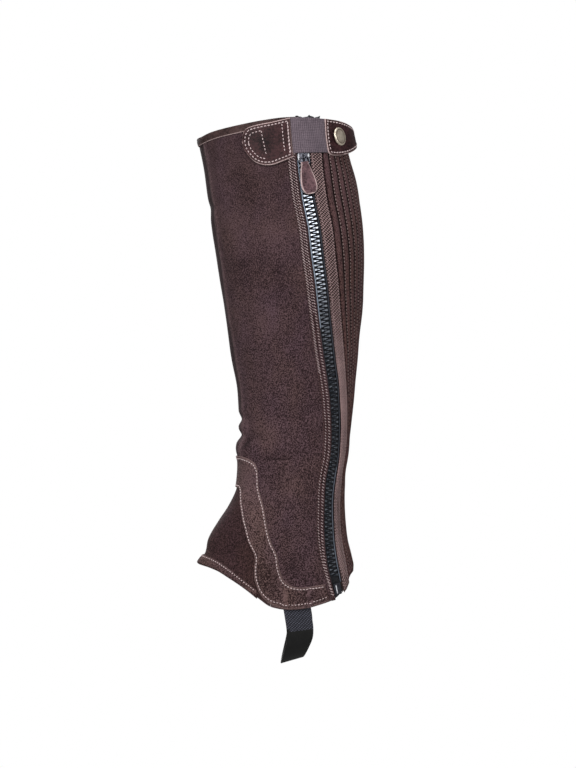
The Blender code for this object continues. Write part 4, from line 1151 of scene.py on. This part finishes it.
def make_facings():
    """The folded strip in front of the zip, the tape behind it, and their rows of sewing."""
    rows = row_levels()[4:]
    inner_edge = ZIP_HALF_GAP - SEAM_GAP
    front = panel_grid(lambda height: from_zip(height, -front_reach(height)),
                       beside_zip(-inner_edge), spaced(7.6, 1.6, STRIP_STEPS), rows)

    def front_relief(angle, height, sides):
        """A fold by the zip, thinned to nothing at the other edge."""
        return 0.4 * swell(sides["right"], 1.0, 0.8) - 0.9 * np.clip(1 - sides["left"] / 2.5, 0, 1)

    make_wall("zip_facing_front_suede", front, TRIM, [SUEDE_FACING], front_relief, roll=0.5,
              cloth_tone=FACING_TONES, wear_reach=0.3)
    back = panel_grid(beside_zip(inner_edge), lambda height: from_zip(height, back_reach(height)),
                      spaced(10.6, 1.6, STRIP_STEPS), rows)

    def back_relief(angle, height, sides):
        return -0.25 * (swell(sides["left"], 1.8, 0.6) + swell(sides["right"], 1.8, 0.6))

    make_wall("zip_facing_back_tape", back, TRIM, [TWILL], back_relief, roll=0.6,
              slot="twill_tape", cloth_tone=TAPE_TONES)

    levels = between(rows, FACING_SEWN)

    def row_beside(distance, end, out, kind, slant, *more):
        """Stitches in front of the zip or behind it, kept inside their facing."""
        side, reach = (-1, front_reach) if distance < 0 else (1, back_reach)

        def place(height):
            return from_zip(height, side * np.minimum(abs(distance), reach(height) - 1.3))

        line = line_grid(place, levels[levels > end])
        return stitch_line(*line, TRIM[1] - out, STITCHES[kind][2], slant, *more)

    (nearest, end), *others = FACING_ROWS
    lines = [row_beside(-nearest, end, 0.05, "comb", FACING_SLANT, 0.0, COMB_SLANT)]
    sew("facing_comb_stitches", lines, "comb", FACING_THREAD)
    half_pitch = STITCHES["facing"][2] / 2
    lines = [row_beside(-distance, end, 0.05, "facing", FACING_SLANT, row * half_pitch)
             for row, (distance, end) in enumerate(others)]
    sew("facing_stitches", lines, "facing", FACING_THREAD)
    tape_rows = ((inner_edge + 1.8, -FACING_SLANT), (PAST_FACING, FACING_SLANT))
    lines = [row_beside(distance, FACING_SEWN[0], 0.15, "facing", slant)
             for distance, slant in tape_rows]
    sew("tape_stitches", lines, "facing", ROSE_THREAD, "twill_tape")


def zip_frame(height):
    """A frame on the zip line: X across to the rear, Y up the zip, Z out of the leg."""
    at = leg_surface(zip_angle(height), height)
    above = leg_surface(zip_angle(height + 1.0), height + 1.0)
    below = leg_surface(zip_angle(height - 1.0), height - 1.0)
    out = leg_normal(zip_angle(height), height)
    up = unit(above - below)
    across = np.cross(up, out)
    placed = np.eye(4)
    placed[:3, :4] = np.stack([across, up, out, at], axis=-1)
    return placed


def set_in(placed, points):
    return np.asarray(points) @ placed[:3, :3].T + placed[:3, 3]


# Half the outline of a tooth, which reaches past the middle: across the zip, and along it.
TOOTH_HALF = ((-3.9, 0.8), (-3.3, 0.85), (-2.6, 0.72), (-1.2, 0.52), (0.2, 0.3), (1.1, 0.12))
TOOTH_LEVELS = ((0.0, -1.4), (0.0, 0.55), (0.12, 0.82), (0.3, 0.95))


def make_zip():
    """Two rows of teeth that lie in turn on both sides, on tapes with cords and loose ends."""
    outline = np.array([*TOOTH_HALF, *((x, -y) for x, y in reversed(TOOTH_HALF))])
    form, faces = stacked(outline, TOOTH_LEVELS)
    parts = []
    for tooth in range(2 * int((CHAIN_TOP - CHAIN_BOTTOM - 3.0) / TOOTH_PITCH)):
        side = 1 if tooth % 2 == 0 else -1
        placed = zip_frame(CHAIN_TOP - 2.0 - tooth * TOOTH_PITCH / 2)
        parts.append((set_in(placed, form * (side, side, 1)), faces))
    add_mesh("zip_teeth", *joined(parts), [CHROME], replaces=["zip_chain"], slot="zip_metal",
             sharp=30.0)

    for name, left, right, above in TAPE_ENDS:
        place = np.linspace(left, right, 9)[None, :]
        ragged = above * (0.74 + 0.2 * np.sin(place * 0.55 + 1.0) + 0.1 * np.sin(place * 1.7))
        height = rim_height(ZIP_TOP_ANGLE) - 3.0 + np.linspace(1, 0, 9)[:, None] * (ragged + 3.0)
        make_wall(f"zip_tape_end_{name}", (from_zip(height, place), height), (-2.0, 2.2),
                  [ZIP_TAPE], roll=1.5, slot="zip_tape", stands_in=False)
    make_tape("zip_core_weave", np.linspace(-TAPE_EDGE, TAPE_EDGE, 9), (-1.3, -0.7), 9, False)
    reach = np.array([TAPE_EDGE, 5.0, ZIP_HALF_GAP - 2 * SEAM_GAP, 8.0, 11.0, TAPE_REACH])
    make_tape("zip_tape_front_weave", -reach, TAPE, 2)
    make_tape("zip_tape_back_weave", reach, TAPE, 2)
    for name, distance, top, bottom, cord in ZIP_CORDS:
        level = np.linspace(top, bottom, 120)
        angle = from_zip(level, distance)
        normal = leg_normal(angle, level)
        points, faces = tube(skin(angle, level, 1.1), 0.5, 6, normal=normal)
        add_mesh("zip_cord_" + name, points, faces, [cord], slot="zip_tape")


def make_tape(name, distances, layer, above, stands_in=True):
    """A strip along the zip. Only its first columns go on above the rim."""
    rows = row_levels()[:, None] * np.ones((1, len(distances)))
    height = rows
    for _ in range(SETTLING):
        angle = from_zip(height, distances[None, :])
        height = height_of(rows, angle)
    height[-1] += 0.2
    height = np.concatenate([height[:1] + TAPE_ABOVE_RIM, height])
    angle = np.concatenate([angle[:1], angle])
    keep = np.ones((len(height) - 1, len(distances) - 1), bool)
    keep[:4, above:] = False
    make_wall(name, (angle, height), layer, [ZIP_TAPE], keep=keep, roll=0.3, slot="zip_tape",
              stands_in=stands_in)


def mirrored_outline(half):
    """A smooth closed outline from its half widths along the zip."""
    along = np.linspace(half["along"][0], half["along"][-1], 15)
    width = through(along, half["along"], half["half_width"])
    right = np.column_stack([width, along])
    return np.concatenate([right, right[::-1] * (-1, 1)])


def plate(outline, low, high, bevel):
    """A flat plate with rounded edges."""
    soft = 0.3 * bevel
    return stacked(outline, ((bevel, low), (soft, low + soft), (0.0, low + bevel),
                             (0.0, high - bevel), (soft, high - soft), (bevel, high)))


def add_in_zip(name, height, parts, material, **facts):
    """Make a metal piece from parts that are given in the frame of the zip."""
    points, faces = joined(parts)
    add_mesh(name, set_in(zip_frame(height), points), faces, [material], slot="dark_metal", **facts)


def make_slider():
    """Two plates on a web, a bail for the pull, and two lugs beside it in a pale matt finish that
    paints the slider's highlights.
    """
    body = mirrored_outline(SLIDER_PLATE)
    web = mirrored_outline(SLIDER_WEB)
    arch = [(0.0, -2.9 * math.cos(turn), 2.1 + 3.0 * math.sin(turn) ** 0.7)
            for turn in np.linspace(0, math.pi, 13)]
    parts = [plate(body, -3.4, -1.9, 0.3), plate(web, -2.0, 0.5, 0.1), plate(body, 0.3, 2.2, 0.55),
             tube(arch, 0.75, normal=np.broadcast_to((1.0, 0.0, 0.0), (len(arch), 3)))]
    lugs = [tube([(x, y, 2.2) for y in np.linspace(foot, top, 6)], (0.5, 0.75, 0.8, 0.8, 0.75, 0.5))
            for x, foot, top in ((-4.5, -2.4, 3.6), (4.4, 0.0, 3.8))]
    add_in_zip("zip_slider_highlight_lugs", SLIDER_HEIGHT, lugs, PAINTED_HIGHLIGHT)
    add_in_zip("zip_slider_body", SLIDER_HEIGHT, parts, GUNMETAL, replaces=["zip_slider"])


def make_pull():
    """The ring through the bail, and the leather looped round it."""
    hang = Matrix.Translation((0.0, 0.0, PULL_AXIS_OUT)) @ Matrix.Rotation(PULL_SWAY, 4, "Z")
    placed = zip_frame(SLIDER_HEIGHT) @ np.array(hang)
    centres = []
    inward = RING_CORNER
    half_drop = RING_DROP / 2
    for side, end, start in ((1, 1, 0.0), (-1, 1, 90.0), (-1, -1, 180.0), (1, -1, 270.0)):
        for turn in np.radians(start + np.linspace(0, 90.0, 7)):
            x = side * (RING_HALF_WIDTH - inward) + inward * math.cos(turn)
            y = -half_drop + end * (half_drop - inward) + inward * math.sin(turn)
            centres.append((x, y, -RING_RISE * y / RING_DROP))
    points, faces = tube(centres, RING_WIRE, 10, closed=True)
    add_mesh("pull_ring_wire", set_in(placed, points), faces, [GUNMETAL], "pull", ["pull_ring"],
             "dark_metal")

    along = np.linspace(-32.0, -7.4, 30)
    path = [(place, *(float(through(place, PULL_LEATHER["along"], PULL_LEATHER[column]))
                      for column in ("out", "half_width"))) for place in along]
    for turn in np.linspace(EYE_FROM, EYE_TO, 14):
        path.append((-RING_DROP - EYE_RADIUS * math.cos(turn),
                     RING_RISE + EYE_RADIUS * math.sin(turn), EYE_HALF_WIDTH))
    path = np.array(path)
    centre = np.column_stack([0 * path[:, 0], path[:, 0], path[:, 1]])
    normal = np.cross((1.0, 0.0, 0.0), unit(np.gradient(centre, axis=0)))
    across = np.array([-1.0, -0.85, -0.72, -0.4, 0.0, 0.4, 0.72, 0.85, 1.0])
    base = centre[:, None] + (across * path[:, 2:])[..., None] * np.array([1.0, 0.0, 0.0])
    base = base + (PULL_SHIFT, 0.0, 0.0)
    normals = np.broadcast_to(normal[:, None], base.shape)
    # The edges are thin, with a bead beside them.
    thick = LEATHER_HALF * np.array([0.6, 1.35, 1.0, 1.0, 1.0, 1.0, 1.0, 1.35, 0.6])
    thick = thick[None, :] * np.ones((len(path), 1))
    thick[0] *= 0.6
    half = normals * thick[..., None]
    points = np.concatenate([(base + half).reshape(-1, 3), (base - half).reshape(-1, 3)])
    edge = np.zeros((len(path) - 1, len(across) - 1), bool)
    edge[:, [0, -1]] = True
    edge[0] = True
    walls = grid_faces(np.ones(edge.shape, bool))
    add_mesh("pull_tab_leather", set_in(placed, points), np.concatenate(walls).tolist(),
             [PULL_SKIN, RAW_EDGE_SKIN], "pull", ["pull_tab"], "tab_leather",
             face_material=np.concatenate([edge.ravel(), edge.ravel(), np.ones(len(walls[2]))]))


def make_retainer():
    """The box at the foot of the zip, with a raised lip and a pale matt pin that paints a highlight
    along the box.
    """
    w, h = BOX_HALF_WIDTH, BOX_HALF_HEIGHT
    body = np.array([(w, -h), (w, h), (-w, h), (-w, -h)])
    lip = np.array([(0.7, -h + 0.8), (0.7, h - 2.4), (-0.7, h - 2.4), (-0.7, -h + 0.8)])
    back, front = BOX_DEPTH
    parts = [plate(body, back, front - 0.3, 0.5), plate(lip, 1.0, front, 0.2)]
    line = [(-1.5, y, front - 0.2) for y in (-3.8, -3.0, 0.0, 3.0, 3.8)]
    pin = tube(line, (0.3, 0.5, 0.5, 0.5, 0.3))
    add_in_zip("zip_box_highlight_pin", BOX_HEIGHT, [pin], PAINTED_HIGHLIGHT)
    add_in_zip("zip_box_body", BOX_HEIGHT, parts, GUNMETAL, replaces=["zip_box"])


# ---------------------------------------------------------------- the fastening at the rim

# How the snap tab stands off the leg: how far, from which angle and over how many degrees.
TAB_LIFT, TAB_LIFT_FROM, TAB_LIFT_OVER = 7.0, 137.0, 18.0
TAB_TONES = table(SPOT, ((85, 86, 9, 14, -0.2, 0),))
# Straight rows of sewing across the leather crescent: the angle and height of each end.
TAB_ROWS = (((83.6, 98.8), (83.4, 75.2)), ((99.6, 104.4), (97.6, 77.0)),
            ((104.2, 106.4), (102.0, 78.6)))


def tab_lift(angle):
    return TAB_LIFT * (1 - np.exp(-(np.clip(angle - TAB_LIFT_FROM, 0, None) / TAB_LIFT_OVER) ** 2))


def padded(edge, height, row):
    """Leather padded to a height, with a groove under the row of sewing by its edge."""
    return height * (1 - np.exp(-edge / 5.0)) - 0.3 * swell(edge, row, 0.7)


def make_closure():
    """The leather crescent, the elastic over the zip and the snap tab."""
    pitch = STITCHES["tab"][2]
    leather_facts = {"slot": "tab_leather", "cloth_tone": TAB_TONES}
    grid = ladder_grid(CLOSURE_TAB_RUNGS, spaced(37.0, 1.2), spaced(34.0, 1.2))
    make_wall("closure_tab_leather", grid, TAB, [TAB_LEATHER, RAW_EDGE_SKIN],
              lambda angle, height, sides: padded(sides["edge"], 0.35, TAB_INSET),
              **leather_facts)
    out = TAB[1] + 0.1
    lines = [stitch_line(*outline_line(CLOSURE_TAB_RUNGS, TAB_INSET), out, pitch)]
    inner_row = outline_line(CLOSURE_TAB_RUNGS, TAB_INNER_INSET)
    inside = inner_row[0] < TAB_INNER_END
    first = np.argmax(inside & ~np.roll(inside, 1))
    inside = np.roll(inside, -first)
    rows = [[np.roll(values, -first)[inside] for values in inner_row]]
    rows += [np.linspace(start, end, 30).T for start, end in TAB_ROWS]
    lines += [stitch_line(angle, height, out, pitch) for angle, height in rows]
    sew("closure_tab_stitches", lines, "tab", PALE_THREAD, "tab_leather")

    grid = ladder_grid(ELASTIC_RUNGS, spaced(32.0, 1.4), spaced(30.0, 1.4))

    def gather(angle, height, sides):
        return 0.12 * np.sin(sides["left"] * 2 * math.pi / 3.1)

    make_wall("closure_elastic_weave", grid, ELASTIC, [ELASTIC_WEAVE], gather, roll=0.5,
              slot="elastic", cloth_tone=TAB_TONES)

    grid = ladder_grid(SNAP_TAB_RUNGS, spaced(56.0, 1.3), spaced(28.0, 1.3))

    def snap_relief(angle, height, sides):
        place = np.stack([(angle - SNAP_CAP_ANGLE) * 0.86, height - SNAP_CAP_HEIGHT])
        pressed = 0.7 * np.exp(-(np.hypot(*place) / 9.0) ** 4)
        return padded(sides["edge"], 0.3, SNAP_TAB_INSET) - pressed

    make_wall("snap_tab_leather", grid, TAB, [TAB_LEATHER, RAW_EDGE_SKIN], snap_relief,
              lift=tab_lift(grid[0]), **leather_facts)
    angle, height = outline_line(SNAP_TAB_RUNGS, SNAP_TAB_INSET)
    lines = [stitch_line(angle, height, out - 0.1 + tab_lift(angle), pitch)]
    sew("snap_tab_stitches", lines, "tab", PALE_THREAD, "tab_leather")


# Section of the cap: radius, height above its foot, and how bright its metal is.
CAP_PROFILE = table("radius rise bright", (
    (8, 0, -0.3), (8.1, 0.5, 0.1), (7.9, 1.1, 0.35), (7.4, 1.6, 0.5), (6.8, 1.75, 0.3),
    (6.4, 1.5, -0.3), (6, 1.45, -0.4), (5.6, 1.7, 0), (4.4, 2.1, 0.15), (2.8, 2.45, 0.22),
    (1.2, 2.6, 0.25), (0.1, 2.65, 0.25),
))
CAP_FOOT = 5.0
CAP_SUNK = 0.3                  # how far the cap is pressed into the leather
CAP_SIDES = 48


def make_snap_cap():
    """A plain domed cap with a rolled rim and a sunk ring."""
    at = leg_surface(SNAP_CAP_ANGLE, SNAP_CAP_HEIGHT)
    out = Vector(leg_normal(SNAP_CAP_ANGLE, SNAP_CAP_HEIGHT))
    placed = np.eye(4)
    placed[:3, :3] = out.to_track_quat("Z", "Y").to_matrix()
    placed[:3, 3] = at
    turns = round_turns(CAP_SIDES)
    foot = CAP_FOOT + tab_lift(SNAP_CAP_ANGLE) - CAP_SUNK
    rings = []
    for radius, rise, _ in zip(*CAP_PROFILE.values()):
        rings.append(np.column_stack([radius * np.cos(turns), radius * np.sin(turns),
                                      0 * turns + foot + rise]))
    add_mesh("snap_cap_brass", set_in(placed, np.concatenate(rings)),
             ring_faces(len(rings), CAP_SIDES), [BRASS], replaces=["snap_cap"], slot="brass",
             attributes={"tone": np.repeat(CAP_PROFILE["bright"], CAP_SIDES)}, sharp=60.0)


# ---------------------------------------------------------------- the strap under the foot

def strap_points(turns, angles, out):
    """A grid of points. turns run from 0 at the outer hem to pi at the inner one, and past both."""
    turn = np.clip(turns, 0, math.pi)[:, None]
    sewn = np.maximum(np.maximum(-turns, turns - math.pi), 0.0)[:, None]
    hem = skin(angles, STRAP_HEM, out)
    far = skin(360.0 - angles, STRAP_HEM, out)
    middle = hem[:, 1].mean()
    low = np.sin(turn)
    tilt = STRAP_TILT * low
    across = hem[:, 1] - middle
    across = across * np.where(across > 0, 1 - 0.22 * low ** 4, 1.0)
    thick = out - (STRAP[0] + STRAP[1]) / 2
    side = hem[:, 0] * (1 + np.cos(turn)) / 2 + far[:, 0] * (1 - np.cos(turn)) / 2
    forward = through(low, STRAP_LINE["share"], STRAP_LINE["forward"])
    hung = np.stack([
        side,
        middle - forward + across * np.cos(tilt),
        STRAP_HEM - (STRAP_DROP + thick) * low + across * np.sin(tilt),
    ], axis=-1)
    round_leg = np.where(turns[:, None] < 1.0, angles, 360.0 - angles)
    return np.where(sewn[..., None] > 0, skin(round_leg, STRAP_HEM + sewn, out), hung)


STRAP_CHANGE = -331.0           # level where the woven part of the strap ends


def make_strap():
    """A loop of elastic, sewn inside the hem at both ends."""
    sewn = STRAP_HEM - STRAP_SEWN_TOP
    turns = [sewn, sewn * 0.6, sewn * 0.2, *np.linspace(0, math.pi, 61)]
    turns += [math.pi - sewn * 0.2, math.pi - sewn * 0.6, math.pi - sewn]
    angles = np.array([0.0, 0.02, 0.06, *np.linspace(0.12, 0.88, 9), 0.94, 0.98, 1.0])
    angles = STRAP_FROM + (STRAP_TO - STRAP_FROM) * angles
    turns = np.array(turns)
    outer = strap_points(turns, angles, STRAP[1])
    inner = strap_points(turns, angles, STRAP[0])
    sides = side_distances(outer)
    edge = np.minimum(sides["left"], sides["right"])
    drop = (rolled(edge, 0.5) / (STRAP[1] - STRAP[0]))[..., None]
    outer = outer * (1 - drop) + inner * drop
    faces = np.concatenate(grid_faces(np.ones((len(turns) - 1, len(angles) - 1), bool)))
    points = np.concatenate([outer.reshape(-1, 3), inner.reshape(-1, 3)])
    smooth = points[:, 2][faces].mean(axis=1) < STRAP_CHANGE
    cloth = np.stack([sides["left"], sides["first"], edge], axis=-1).reshape(-1, 3)
    piece = add_mesh("foot_strap_elastic", points, faces.tolist(), [STRAP_WEAVE, STRAP_SMOOTH],
                     replaces=["foot_strap"], slot="strap_elastic", face_material=smooth,
                     attributes={"cloth": np.concatenate([cloth, cloth])})


# ---------------------------------------------------------------- light and camera

CAMERA_AT = (1.88, -0.0018, -0.118)
WORLD_LIGHT = 0.28
LAMP_AIM = (0.0, 0.0, -0.12)
# Soft lamps: name, place in metres, width and power.
LAMPS = (
    ("front_left", (2.0, -1.2, 0.9), 1.2, 44.0),
    ("front_right", (2.1, 1.1, 0.3), 1.4, 24.0),
    ("above", (0.2, -0.3, 2.0), 1.2, 18.0),
    ("behind", (-1.9, -0.6, 0.8), 1.6, 40.0),
)


def make_light():
    """The lamps, and a world that shows white but lights weakly."""
    for name, at, size, watts in LAMPS:
        light = bpy.data.lights.new(name, "AREA")
        light.shape = "DISK"
        light.size = size
        light.energy = watts
        lamp = bpy.data.objects.new(name, light)
        lamp.location = at
        lamp.rotation_euler = (Vector(LAMP_AIM) - Vector(at)).to_track_quat("-Z", "Y").to_euler()
        bpy.context.scene.collection.objects.link(lamp)
    world = bpy.data.worlds.new("studio")
    world.use_nodes = True
    bpy.context.scene.world = world
    nodes = world.node_tree.nodes
    ray = nodes.new("ShaderNodeLightPath").outputs["Is Camera Ray"]
    share = nodes.new("ShaderNodeMath")
    share.operation = "MULTIPLY_ADD"
    share.inputs[1].default_value = 1.0 - WORLD_LIGHT
    share.inputs[2].default_value = WORLD_LIGHT
    world.node_tree.links.new(ray, share.inputs[0])
    world.node_tree.links.new(share.outputs[0], nodes["Background"].inputs["Strength"])
    nodes["Background"].inputs["Color"].default_value = (1.0, 1.0, 1.0, 1.0)


def make_camera():
    data = bpy.data.cameras.new("camera")
    data.lens = 100.0
    data.sensor_width = 36.0
    camera = bpy.data.objects.new("camera", data)
    camera.location = CAMERA_AT
    camera.rotation_euler = (math.pi / 2, 0.0, math.pi / 2)
    bpy.context.scene.collection.objects.link(camera)
    bpy.context.scene.camera = camera
    bpy.context.scene.view_settings.view_transform = "Standard"


# Sheets of cloth: what each rests on, and the pieces that are cut or sewn with it.
SHEETS = {
    "outer_panel_suede": ([], ["zip_facing_front_suede", "zip_tape_front_weave", "zip_core_weave"]),
    "inner_panel_suede": ([], ["rim_binding_leather"]),
    "stretch_panel_suede": ([], ["zip_tape_back_weave"]),
    "instep_panel_suede": ([], ["hem_binding_suede"]),
    "ankle_overlay_suede": (["outer_panel_suede", "inner_panel_suede"], []),
    "zip_facing_back_tape": (["stretch_panel_suede"], []),
    "closure_tab_leather": (["outer_panel_suede", "rim_binding_leather"], []),
    "closure_elastic_weave": (["zip_slider_body"], []),
    "snap_tab_leather": (["stretch_panel_suede", "rim_binding_leather"], []),
}


def main():
    for make in (make_outer_panel, make_inner_panel, make_stretch_panel, make_instep_panel,
                 make_overlay, make_rim_band, make_hem_band, make_facings, make_zip, make_slider,
                 make_pull, make_retainer, make_closure, make_snap_cap, make_strap):
        make()
    for name, (rests_on, with_pieces) in SHEETS.items():
        declare_sheet(name)
    make_light()
    make_camera()


main()
